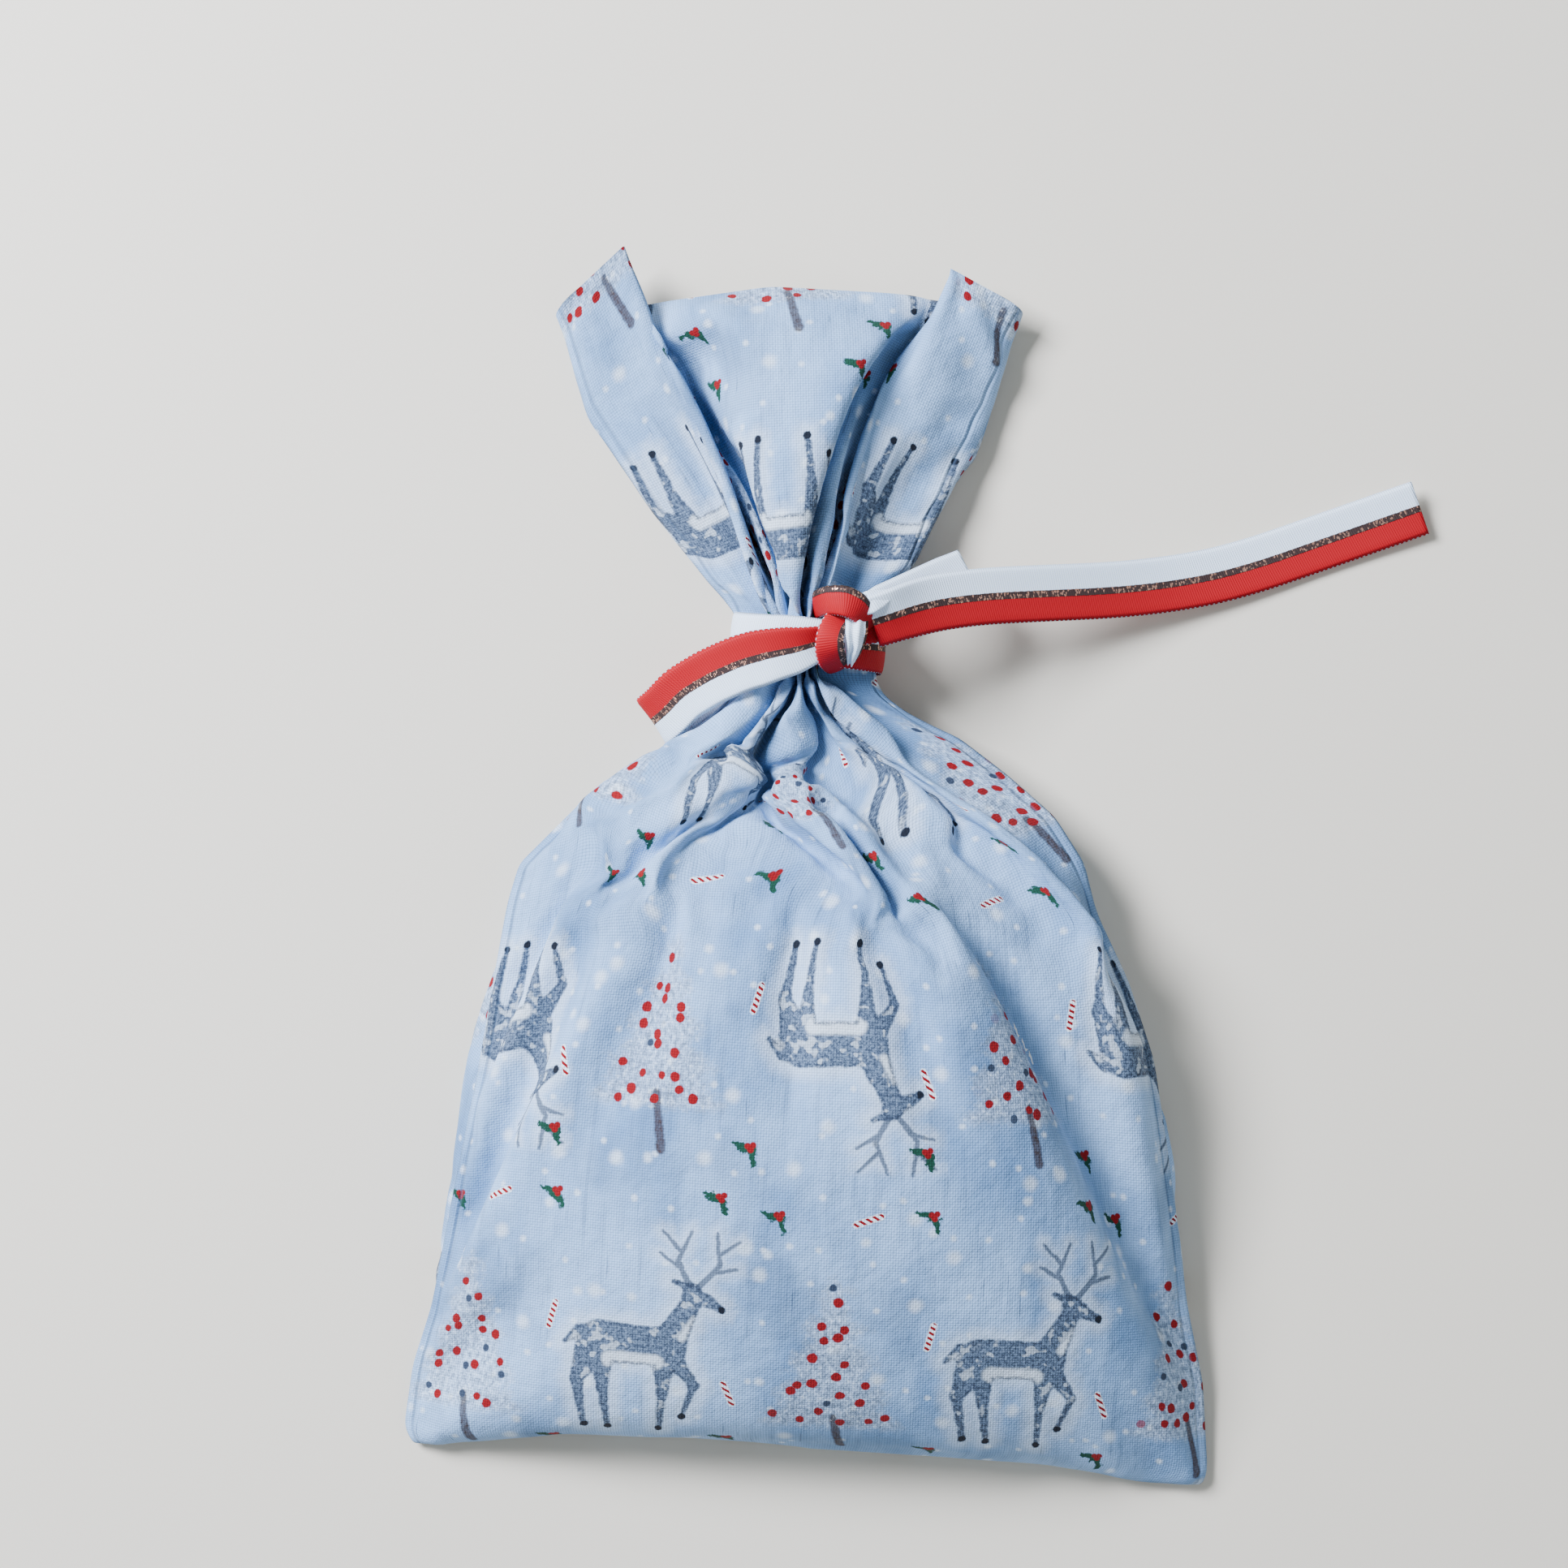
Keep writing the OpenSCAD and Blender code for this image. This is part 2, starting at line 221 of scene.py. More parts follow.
# printed cotton
cotton = {
    "ice": (0.140, 0.270, 0.49, 1), "frost": (0.335, 0.53, 0.82, 1), "shade": (0.07, 0.12, 0.21, 1),
    "snow": (0.78, 0.89, 1.0, 1), "grey": (0.030, 0.046, 0.082, 1), "ink": (0.004, 0.007, 0.016, 1),
    "red": (0.24, 0.0, 0.004, 1), "green": (0.004, 0.055, 0.032, 1), "bark": (0.040, 0.018, 0.010, 1),
    "tileWide": 66.0, "tileTall": 58.0,
    "thread": 0.47,            # spacing of the threads, mm
    "roughness": 0.86,
    "seamAt": 72.4,            # cloth distance of the side seams from the middle, mm
}


def cottonMaterial(name, printed):
    net = Net(name)
    u, v = net.uv()
    u, v = u * 1000.0, v * 1000.0               # cloth coordinates in mm
    place = net.point(u, v)
    bleed = net.noise(place, 0.55, 3.0, 0.7) - 0.5   # ink creeping along the threads
    cloud = net.noise(net.point(u, v * 0.6), 0.035, 4.0, 0.6)
    streak = net.noise(net.point(u * 0.55, v * 0.045, 3.0), 1.0, 4.0, 0.65)
    colour = net.blend(net.ramp(cloud, 0.32, 0.62), cotton["ice"], cotton["frost"])
    colour = net.blend(net.ramp(streak, 0.50, 0.78) * 0.45, colour, cotton["shade"])
    patch = net.noise(net.point(u, v * 0.8, 15.0), 0.055, 3.0, 0.6)
    colour = net.blend(net.ramp(patch, 0.52, 0.68) * 0.30, colour, cotton["shade"])
    scratch = net.noise(net.point(u * 1.7, v * 0.09, 9.0), 1.0, 2.0, 0.5)
    colour = net.blend(net.ramp(scratch, 0.66, 0.75) * 0.55, colour, cotton["grey"])
    if printed:
        colour = winterPrint(net, u, v, bleed, colour)
    else:
        colour = net.blend(0.55, colour, cotton["snow"])
    # plain weave, one thread over and one under; the colour is darkened between the threads with painted shade, and the
    # slubs vary its tone
    turn = math.pi / cotton["thread"]
    over = abs((u * turn).do("SINE")) * abs((v * turn).do("SINE"))
    cross = (u * turn).do("SINE") * (v * turn).do("SINE")
    thread = over ** 0.5
    slub = net.noise(net.point(u * 0.25, v * 2.6, 5.0), 1.0) + net.noise(net.point(u * 2.6, v * 0.25, 7.0), 1.0)
    threadShadeAndSlubs = net.ramp(thread, 0.05, 0.6, 0.52, 1.0) * (slub * 0.14 + 0.87) * (cross * 0.035 + 1.0)
    # painted shade between the threads, times the slub tone, multiplied into the colour
    colour = net.maths("MULTIPLY", colour, net.point(threadShadeAndSlubs, threadShadeAndSlubs, threadShadeAndSlubs))
    fuzz = net.noise(place, 3.5, 2.0)
    crease = net.noise(place, 0.16, 3.0, 0.55)
    seamDentAndShade = net.ramp(abs(abs(u) - cotton["seamAt"]), 0.0, 0.6, 1.0, 0.0)   # where the side seam pulls the cloth in
    # painted shade: the colour is darkened along each side seam line, where the crease would lie in shade; the same
    # mask dents the bump
    colour = net.blend(seamDentAndShade * 0.35, colour, cotton["shade"])
    height = thread * 0.06 + cross * 0.02 + fuzz * 0.02 + crease * 0.8 - seamDentAndShade * 0.35
    return net.finish(Base_Color=colour, Roughness=cotton["roughness"], Sheen_Weight=0.05,
                      Specular_IOR_Level=0.25, Normal=net.bump(height, mm, 0.9))


deer = {    # bars of the grey deer of the print, mm: ends and their radii
    "body": [((-6.0, 1.6), (5.6, 1.2), 3.9, 3.7), ((6.4, 2.6), (10.4, 11.2), 2.9, 1.5),
             ((10.2, 11.8), (14.8, 9.4), 1.75, 0.75), ((9.6, 12.8), (6.8, 13.9), 0.8, 0.35),
             ((-7.2, 0.2), (-9.8, -6.0), 3.2, 1.2), ((-9.8, -6.0), (-8.5, -15.4), 1.0, 0.5),
             ((-5.4, 0), (-5.2, -7.2), 2.3, 1.0), ((-5.2, -7.2), (-4.3, -15.8), 0.9, 0.45),
             ((5.6, -0.8), (5.3, -8.0), 2.2, 0.9), ((5.3, -8.0), (4.7, -16.0), 0.8, 0.45),
             ((6.8, -0.4), (10.8, -6.0), 1.9, 0.8), ((10.8, -6.0), (8.8, -12.6), 0.7, 0.4),
             ((-9.6, 3.4), (-12.2, 1.0), 1.1, 0.4)],
    "belly": [((-4.0, -1.6), (4.0, -1.8), 1.5, 1.4), ((8.6, 3.4), (10.6, 7.0), 0.8, 0.6),
              ((-10.2, 2.0), (-11.6, 0.4), 0.7, 0.4)],
    "antlers": [((9.6, 13.2), (7.4, 17.6), 0.5, 0.42), ((7.4, 17.6), (9.6, 23.0), 0.42, 0.22),
                ((8.0, 16.4), (4.2, 18.8), 0.4, 0.22), ((7.9, 19.4), (4.6, 22.8), 0.36, 0.2),
                ((11.2, 13.2), (14.6, 17.2), 0.5, 0.42), ((14.6, 17.2), (14.0, 23.0), 0.42, 0.22),
                ((13.6, 15.9), (17.6, 16.8), 0.4, 0.22), ((14.5, 19.2), (18.0, 21.8), 0.36, 0.2)],
    "hoofs": [(-8.4, -15.6), (-4.2, -16.1), (4.6, -16.3), (8.7, -13.0), (15.2, 9.1)],
    "centre": (46.0, 24.5),
}
fir = {"centre": (14.5, 10.0), "tall": 33.0, "half": 12.0, "berryCell": 0.26}
holly = [(30.5, 52.0), (31.5, 4.5), (62.0, 5.0), (4.0, 51.0), (60.0, 53.5)]
sticks = [((30.6, 28.0), (31.6, 32.4)), ((63.4, 15.0), (61.8, 19.2)), ((17.6, 50.4), (21.8, 52.0))]


def winterPrint(net, u, v, bleed, colour):
    wide, tall = cotton["tileWide"], cotton["tileTall"]

    def inTile(a, b):
        row = (b / tall).do("FLOOR")
        odd = (row * 0.5).do("FRACT") * 2.0      # 0 on even rows, 1 on odd rows
        return ((a + odd * (wide / 2) + 11.0) / wide).do("FRACT") * wide, (b / tall).do("FRACT") * tall, odd

    def paint(amount, ink):
        nonlocal colour
        colour = net.blend(amount, colour, cotton[ink])

    x, y, odd = inTile(u, v)
    flip = 1.0 - odd * 2.0
    ragged = bleed * 0.9
    dx, dy = x - deer["centre"][0], (y - deer["centre"][1]) * flip
    p = net.point(dx + ragged, dy + ragged * flip)
    body = joined([capsule(net, p, *bar) for bar in deer["body"]], 1.2)
    horns = joined([capsule(net, p, *bar) for bar in deer["antlers"]])
    inside = net.ramp(y, 0.0, 3.0) * net.ramp(y, tall - 3.0, tall, 1.0, 0.0)
    paint(net.ramp(body.do("MINIMUM", horns + 0.8) + bleed * 2.5, 0.2, 3.6, 0.42, 0.0) * inside, "snow")
    # snow, in three sizes of flake
    for scale, radius, seed in ((0.06, 1.3, 4.0), (0.11, 0.6, 21.0), (0.045, 0.9, 37.0)):
        flake = Signal(net, net.cells(net.point(u + seed * 40.0, v), scale).outputs["Distance"])
        paint(net.ramp(flake * (1 / scale) + bleed * 0.8, radius * 0.2, radius * 1.5, 0.62, 0.0), "snow")
    # a fir tree hung with baubles
    tx, ty = x - fir["centre"][0], y - fir["centre"][1]
    reach = (1.0 - ty / fir["tall"]) * fir["half"] + (ty * 0.95).do("SINE") * 0.9
    rough = net.noise(net.point(u, v, 12.0), 0.5, 3.0, 0.7) - 0.5
    tree = (net.ramp(abs(tx) - reach + rough * 9.0, -2.6, 1.4, 1.0, 0.0) * net.ramp(ty + rough * 4.0, -0.5, 1.8)
            * net.ramp(ty, fir["tall"] - 2.0, fir["tall"], 1.0, 0.0))
    needles = net.noise(net.point(u * 1.2, v * 0.8, 2.0), 1.0, 5.0, 0.78)
    trunk = capsule(net, net.point(tx + ragged, ty), (0.4, 3.0), (2.0, -6.6), 0.7, 0.9)
    paint(tree * 0.3, "snow")
    paint(net.ramp(trunk, -0.3, 0.3, 1.0, 0.0) * net.ramp(needles, 0.3, 0.6, 1.0, 0.8), "bark")
    paint(tree * net.ramp(needles, 0.42, 0.62) * 0.62, "grey")
    paint(tree * net.ramp(needles, 0.46, 0.34) * 0.62, "snow")
    balls = net.cells(net.point(u, v), fir["berryCell"], 0.8)
    ballPlace = Signal(net, balls.outputs["Position"], True)
    bx, by, _ = inTile(net.part(ballPlace, 0), net.part(ballPlace, 1))
    bx, by = bx - fir["centre"][0], by - fir["centre"][1]
    inTree = (net.ramp(abs(bx) - (1.0 - by / fir["tall"]) * fir["half"], -0.8, -0.4, 1.0, 0.0) * net.ramp(by, 1.0, 1.3)
              * net.ramp(by, fir["tall"] - 3.5, fir["tall"] - 3.0, 1.0, 0.0))
    pick = net.shareOf(balls)
    fromBall = Signal(net, balls.outputs["Distance"]) * (1 / fir["berryCell"])
    ball = net.ramp(fromBall + bleed * 0.8 + pick * 0.3, 0.86, 1.1, 1.0, 0.0) * inTree
    paint(ball * net.ramp(pick, 0.80, 0.81), "grey")
    paint(ball * net.ramp(pick, 0.81, 0.80), "red")
    # the stippled deer
    stipple = net.noise(net.point(u, v, 6.0), 1.5, 4.0, 0.85)
    coat = net.ramp(body, -0.35, 0.3, 1.0, 0.0)
    edge = net.ramp(abs(body + 0.25), 0.0, 0.55, 1.0, 0.0)
    paint(coat * 0.75, "shade")
    paint(coat * net.ramp(stipple, 0.42, 0.58, 0.2, 0.92), "grey")
    dapple = net.ramp(net.noise(net.point(u, v, 8.0), 0.55, 1.0), 0.58, 0.66)
    belly = net.ramp(joined([capsule(net, p, *bar) for bar in deer["belly"]]), -0.5, 0.5, 0.75, 0.0)
    paint((coat * dapple * 0.45).do("MAXIMUM", belly * coat), "snow")
    paint(edge * net.ramp(stipple, 0.38, 0.55) * 0.8, "grey")
    paint(net.ramp(horns, -0.15, 0.3, 0.8, 0.0), "grey")
    hoofs = joined([(p - (hx, hy, 0.0)).do("LENGTH") - 0.7 for hx, hy in deer["hoofs"]])
    paint(net.ramp(hoofs, -0.15, 0.2, 1.0, 0.0), "ink")
    # loose striped sticks and sprigs of holly
    rods = joined([capsule(net, net.point(x, y), a, b, 0.42) for a, b in sticks])
    stripes = net.ramp(((y + x * 0.6) * 5.6).do("SINE"), -0.1, 0.2)
    paint(net.ramp(rods, 0.1, 0.35, 1.0, 0.0), "snow")
    paint(net.ramp(rods, 0.0, 0.2, 1.0, 0.0) * stripes, "red")
    leafPlace = net.point(x + bleed * 2.4, y + bleed * 2.4)
    berryPlace = net.point(x, y)
    leaves, berries = [], []
    for cx, cy in holly:
        leaves += [capsule(net, leafPlace, (cx - 2.4, cy + 1.0), (cx - 0.5, cy + 0.2), 0.35, 0.8),
                   capsule(net, leafPlace, (cx + 1.3, cy - 2.4), (cx + 0.7, cy - 0.3), 0.35, 0.8)]
        berries += [(berryPlace - (cx + a, cy + b, 0.0)).do("LENGTH") - 0.5
                    for a, b in ((0.0, 0.6), (0.9, 0.8), (0.5, 0.0))]
    paint(net.ramp(joined(leaves), -0.1, 0.25, 1.0, 0.0), "green")
    return net.blend(net.ramp(joined(berries), -0.05, 0.2, 1.0, 0.0), colour, cotton["red"])


# ribbon, thread and filling
ribbon = {
    "red": (0.38, 0.002, 0.008, 1), "white": (0.76, 0.88, 1.0, 1), "line": (0.040, 0.022, 0.020, 1),
    "glint": (0.62, 0.32, 0.22, 1), "back": (0.62, 0.72, 0.92, 1),
    "redEnds": 0.43, "lineEnds": 0.555,          # shares of the width
    "rib": 0.42,                                 # pitch of the cross ribs, mm
    "width": 10.0, "thick": 0.45,
}


def ribbonMaterial():
    net = Net("stripedRibbon")
    u, v = net.uv()                              # u across the width, 2 to 3 on the underside
    across = u - (u * 0.5).do("FLOOR") * 2.0
    along = v * 1000.0
    wide = across * ribbon["width"]              # mm from the red edge
    wobble = net.noise(net.point(wide, along), 1.6, 2.0) - 0.5
    edge = across + wobble * 0.02
    white = net.blend(net.noise(net.point(wide, along, 3.0), 0.5, 2.0) * 0.35, ribbon["white"], ribbon["back"])
    colour = net.blend(net.ramp(edge, ribbon["lineEnds"] - 0.008, ribbon["lineEnds"] + 0.008), ribbon["line"], white)
    colour = net.blend(net.ramp(edge, ribbon["redEnds"] - 0.008, ribbon["redEnds"] + 0.008), ribbon["red"], colour)
    picot = net.ramp((along * 7.5).do("SINE"), 0.0, 0.5, 0.0, 0.7) * net.ramp(across, 0.010, 0.022, 1.0, 0.0)
    colour = net.blend(picot, colour, ribbon["white"])
    inLine = (net.ramp(edge, ribbon["redEnds"] - 0.005, ribbon["redEnds"] + 0.005)
              * net.ramp(edge, ribbon["lineEnds"] - 0.005, ribbon["lineEnds"] + 0.005, 1.0, 0.0))
    foil = net.cells(net.point(wide, along * 1.6), 2.6)
    flash = net.shareOf(foil)
    glint = inLine * net.ramp(flash, 0.74, 0.84)
    colour = net.blend(glint, colour, ribbon["glint"])
    turn = 2 * math.pi / ribbon["rib"]
    rib = (along * turn + wide * 2.6).do("SINE")
    wale = (wide * (2 * math.pi / 0.36)).do("SINE")
    weave = rib * 0.5 + wale * rib * 0.35
    shade = 1.0 + weave * 0.3
    colour = net.maths("MULTIPLY", colour, net.point(shade, shade, shade))
    height = weave * 0.05 + inLine * 0.12 + flash * inLine * 0.1
    rough = 0.62 - glint * 0.4
    return net.finish(Base_Color=colour, Roughness=rough, Metallic=glint * 0.8, Specular_IOR_Level=0.2,
                      Normal=net.bump(height, mm, 0.9))


def threadMaterial():
    net = Net("sewingThread")
    place = Signal(net, net.node("TexCoord").outputs["Object"], True)
    twist = net.noise(place, 2600.0, 2.0)
    return net.finish(Base_Color=net.blend(twist, (0.62, 0.68, 0.74, 1), (0.85, 0.88, 0.9, 1)),
                      Roughness=0.7, Normal=net.bump(twist, 0.00012, 0.6))


def tissueMaterial():
    net = Net("whiteTissue")
    place = Signal(net, net.node("TexCoord").outputs["Object"], True)
    fold = net.noise(place, 90.0, 4.0, 0.6)
    fibre = net.noise(place, 900.0, 3.0, 0.6)
    return net.finish(Base_Color=net.blend(fibre, (0.74, 0.73, 0.70, 1), (0.90, 0.89, 0.86, 1)),
                      Roughness=0.8, Normal=net.bump(fold + fibre * 0.1, 0.0012, 0.7))


table.data.materials.append(Net("paleTable").finish(Base_Color=studio["floorColour"], Roughness=0.6))
clothFace = cottonMaterial("printedCotton", True)
clothWrong = cottonMaterial("cottonWrongSide", False)
ribbonStripes = ribbonMaterial()
threadTwist = threadMaterial()
tissue = tissueMaterial()
print("materials ready")


# shared shaping tools
def between(value, knots):
    # straight interpolation of each column of knots over the first one
    table = np.array(knots, float)
    return np.stack([np.interp(value, table[:, 0], table[:, k]) for k in range(1, table.shape[1])], -1)


def evenly(points, shares):
    # points at shares of the length of a polyline
    line = np.array(points, float)
    steps = np.linalg.norm(np.diff(line, axis=0), axis=1)
    place = np.concatenate([[0], np.cumsum(steps)])
    place /= place[-1]
    return np.stack([np.interp(shares, place, line[:, k]) for k in range(line.shape[1])], -1)


def smooth(points, count, rounds=3):
    # a rounded line through given points, with evenly spaced samples
    line = evenly(points, np.linspace(0, 1, count))
    for _ in range(rounds):
        line[1:-1] = (line[:-2] + 2 * line[1:-1] + line[2:]) / 4
    return line


def unit(vectors):
    return vectors / np.maximum(np.linalg.norm(vectors, axis=-1, keepdims=True), 1e-12)


def makeMesh(name, points, faces, uv, material, smoothShade=True):
    # points in mm; uv holds one pair for each corner of each face
    data = bpy.data.meshes.new(name)
    data.from_pydata((np.asarray(points) * mm).tolist(), [], faces)
    layer = data.uv_layers.new(name="cloth")
    layer.data.foreach_set("uv", np.asarray(uv, np.float32).ravel())
    data.polygons.foreach_set("use_smooth", [smoothShade] * len(data.polygons))
    data.materials.append(material)
    data.validate()
    data.update()
    thing = bpy.data.objects.new(name, data)
    scene.collection.objects.link(thing)
    return thing


def replaceNode(node):
    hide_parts(node)


# ribbon
def ribbonStrip(name, points, across, ends, width=None, count=60, cup=0.0, crumple=0.0, rounds=3):
    # a strip along points; across is the direction of its width, from the edge with the share ends[0] to ends[1]
    widths = width or [ribbon["width"] * abs(ends[1] - ends[0])] * 2
    both = smooth(np.hstack([np.array(points, float), unit(np.array(across, float))]), count, rounds)
    line, side = both[:, :3], both[:, 3:]
    ahead = unit(np.gradient(line, axis=0))
    side = unit(side - ahead * (side * ahead).sum(1, keepdims=True))
    up = unit(np.cross(ahead, side))
    run = np.concatenate([[0], np.cumsum(np.linalg.norm(np.diff(line, axis=0), axis=1))])
    wide, half = 13, ribbon["thick"] / 2
    halfWidth = np.interp(np.linspace(0, 1, count), np.linspace(0, 1, len(widths)), widths) / 2
    ring = []                                    # section: share across, height, 1 on the underside
    for under, order in ((0, range(wide)), (1, range(wide - 2, 0, -1))):
        for k in order:
            q = 2 * k / (wide - 1) - 1
            thin = half * math.sqrt(max(0.0, 1 - abs(q) ** 9)) * (1.12 if 0.05 < abs(q) < 0.97 else 1)
            ring.append((q, -thin if under else thin, under))
    n = len(ring)
    places, marks = [], []
    for i in range(count):
        for q, thin, under in ring:
            lift = cup * q * q + crumple * math.sin(q * 7.0 + 0.35 * math.sin(run[i] * 1.3)) * (1 - 0.3 * q)
            places.append(line[i] + side[i] * q * halfWidth[i] + up[i] * (thin + lift))
            share = ends[0] + (ends[1] - ends[0]) * (q + 1) / 2
            marks.append((share + 2 * under, run[i] * mm))
    faces, uv = [], []

    def mark(i, k, under):
        share, along = marks[i * n + k]
        return (share % 2 + 2 * under, along)

    for i in range(count - 1):
        for k in range(n):
            l = (k + 1) % n
            under = 1 if k >= wide - 1 else 0
            faces.append((i * n + k, i * n + l, (i + 1) * n + l, (i + 1) * n + k))
            uv += [mark(i, k, under), mark(i, l, under), mark(i + 1, l, under), mark(i + 1, k, under)]
    for i, turned in ((0, True), (count - 1, False)):
        for k in range(wide - 1):
            a, b = k, k + 1
            c, d = (n - k - 1) % n, (n - k) % n
            corners = [a, b, c] if k == 0 else ([a, b, d] if k == wide - 2 else [a, b, c, d])
            corners = list(dict.fromkeys(corners))
            if turned:
                corners = corners[::-1]
            faces.append(tuple(i * n + j for j in corners))
            uv += [mark(i, j, 0) for j in corners]
    piece = makeMesh(name, places, faces, uv, ribbonStripes)
    outward(piece)
    return piece, line


def outward(piece):
    deselect()
    bpy.context.view_layer.objects.active = piece
    piece.select_set(True)
    bpy.ops.object.mode_set(mode="EDIT")
    bpy.ops.mesh.select_all(action="SELECT")
    bpy.ops.mesh.normals_make_consistent(inside=False)
    bpy.ops.object.mode_set(mode="OBJECT")
    piece.select_set(False)


def tiedRibbon(name, shape, node, ends, **how):
    piece, line = ribbonStrip(name, shape["route"], shape["tilt"], ends, **how)
    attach(piece, "pouch")
    if node:                                     # the tucked end is part of a strand that has its node
        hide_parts(node)
    return piece, line


longTail = {
    "exit": (0.014, 0.0442, 0.0214), "length": 0.101,
    "route": [(11.2, 43.4, 21.0), (14, 44.2, 21.4), (16, 45, 20.4), (19, 46, 18.8), (23, 47, 17), (30, 48, 14.6),
              (37, 48.5, 12.2), (44, 48.9, 9.8), (51, 49.3, 7.4), (58, 49.9, 5.2), (65, 50.8, 3.4), (73, 52.3, 2.2),
              (81, 54.6, 1.6), (89, 57.4, 1.4), (97, 60.2, 1.6), (103, 62.3, 2.0), (109, 64.4, 2.6)],
    "tilt": [(0.55, 0.8, 0.3), (0.3, 0.93, 0.25), (0.05, 0.97, 0.2), (-0.1, 0.99, 0.12), (-0.12, 0.99, 0.06),
             (-0.12, 0.99, 0.04), (-0.06, 0.99, 0.03), (-0.06, 1, 0.02), (-0.06, 1, 0.02), (-0.1, 1, 0.02),
             (-0.15, 1, 0.02), (-0.22, 0.97, 0.03), (-0.3, 0.95, 0.04), (-0.33, 0.94, 0.06), (-0.33, 0.94, 0.08),
             (-0.33, 0.94, 0.1), (-0.31, 0.95, 0.16)],
}
tail, tailLine = tiedRibbon("longTail", longTail, "long_tail", (0.0, 1.0), count=150, cup=0.25, rounds=30)
[tuple(p * mm) for p in tailLine]

loop = {
    "route": [(3.2, 40.2, 20.6), (-1.5, 38.6, 21.6), (-6.5, 37.6, 21.4), (-11.7, 36.2, 20.2), (-17, 33.9, 18.4),
              (-22, 31, 16), (-25.2, 27.6, 13.6), (-27.2, 26.2, 11.8), (-27.4, 25.8, 9.8), (-26.0, 26.6, 8.6),
              (-23.4, 28.4, 8.2), (-19.4, 31.2, 8.2), (-15.6, 34.0, 8.8), (-12.8, 36.0, 9.6)],
    "tilt": [(0, 1, 0.3), (-0.15, 1, 0.25), (-0.22, 0.98, 0.12), (-0.36, 0.94, 0.05), (-0.46, 0.89, 0),
             (-0.55, 0.84, 0), (-0.58, 0.82, 0), (-0.57, 0.82, 0), (-0.57, 0.82, 0), (-0.57, 0.82, 0),
             (-0.57, 0.82, 0), (-0.55, 0.84, 0), (-0.5, 0.87, 0), (-0.45, 0.89, 0)],
}
tiedRibbon("looseLoop", loop, "ribbon_loop", (1.0, 0.0), width=[5.6, 8.6, 10, 10, 10, 10, 10, 10, 10, 9],
           count=110, cup=-0.3, rounds=12)

# the tight turn starts under the knot and goes once round the neck, a little askew
wrap = {"centre": (0.0, 39.8, 10.0), "a": 13.5, "b": 9.3, "tilt": math.radians(-3),
        "from": 74, "step": 4.98, "steps": 73}


def tightTurn():
    route = []
    c, s = math.cos(wrap["tilt"]), math.sin(wrap["tilt"])
    for k in range(wrap["steps"]):
        t = math.radians(wrap["from"] + wrap["step"] * k)
        x, z = wrap["a"] * math.cos(t), wrap["b"] * math.sin(t)
        pinch = 0.5 * math.exp(-((x + 4) / 7) ** 2) * (1 if z > 0 else 0)
        route.append((x * c, wrap["centre"][1] + x * s + pinch, wrap["centre"][2] + z))
    return {"route": route, "tilt": [(-s, c, 0.0)] * len(route)}


tiedRibbon("tightWrap", tightTurn(), "ribbon_wrap", (0.0, 1.0), width=[8.0, 8.4, 10, 10, 10, 10, 9, 8.0],
           count=150, cup=0.35, rounds=1)

strap = {
    "route": [(0.6, 46.0, 17.5), (1.6, 46.6, 20.5), (3.4, 47.0, 23.6), (6.4, 46.9, 25.0), (9.0, 45.6, 24.2),
              (10.6, 43.6, 21.6), (10.8, 42.4, 18.6)],
    "tilt": [(-0.3, 1, 0), (-0.3, 1, 0), (-0.25, 1, 0), (0.05, 1, 0), (0.45, 0.9, 0), (0.7, 0.7, 0), (0.8, 0.6, 0)],
}
tiedRibbon("knotStrap", strap, "knot_strap", (0.0, 0.56), width=[4.6, 4.8, 5.2, 5.4, 5.0, 4.2, 3.4],
           count=46, cup=-0.35, rounds=10)

turn = {
    "route": [(6.0, 44.6, 21.4), (4.6, 43.2, 23.2), (3.7, 40.8, 24.2), (3.6, 38.4, 23.6), (4.2, 36.4, 21.2),
              (5.0, 35.4, 18.0), (5.4, 35.2, 15.0)],
    "tilt": [(0.8, -0.6, 0), (0.9, -0.4, 0), (0.98, -0.15, 0.05), (0.99, 0.05, 0.1), (0.96, 0.25, 0.1),
             (0.92, 0.35, 0.1), (0.9, 0.4, 0.1)],
}
tiedRibbon("knotTurn", turn, "knot_turn", (0.0, 0.56), width=[4.4, 4.6, 4.9, 5.2, 5.0, 4.6, 4.2],
           count=44, cup=-0.3, rounds=10)

core = {
    "route": [(8.0, 45.4, 20.0), (8.2, 43.6, 22.8), (8.3, 41.4, 23.6), (8.1, 39.2, 23.0), (7.7, 37.4, 21.2),
              (7.4, 36.0, 18.6)],
    "tilt": [(1, 0.1, 0), (1, 0.1, 0), (1, 0.05, -0.1), (1, 0.0, -0.1), (1, -0.1, 0), (1, -0.2, 0)],
}
tiedRibbon("knotCore", core, "knot_core", (1.0, 0.5), width=[4.2, 4.4, 4.2, 3.6, 2.6, 1.6],
           count=50, cup=-0.9, crumple=0.42, rounds=8)

short = {
    "route": [(5.6, 42.0, 18.6), (10.0, 43.6, 18.8), (14.6, 45.6, 16.8), (19, 47.7, 14.2), (23, 49.6, 12.0),
              (26, 51.0, 10.6), (28.6, 52.3, 9.6)],
    "tilt": [(-0.42, 0.9, 0), (-0.42, 0.9, 0), (-0.45, 0.89, 0), (-0.47, 0.88, 0), (-0.47, 0.88, 0), (-0.5, 0.86, 0),
             (-0.62, 0.78, 0)],
}
tiedRibbon("shortTail", short, "short_tail", (0.0, 1.0), width=[6, 8.5, 10, 10, 10, 10, 9.4],
           count=56, cup=0.2, rounds=10)

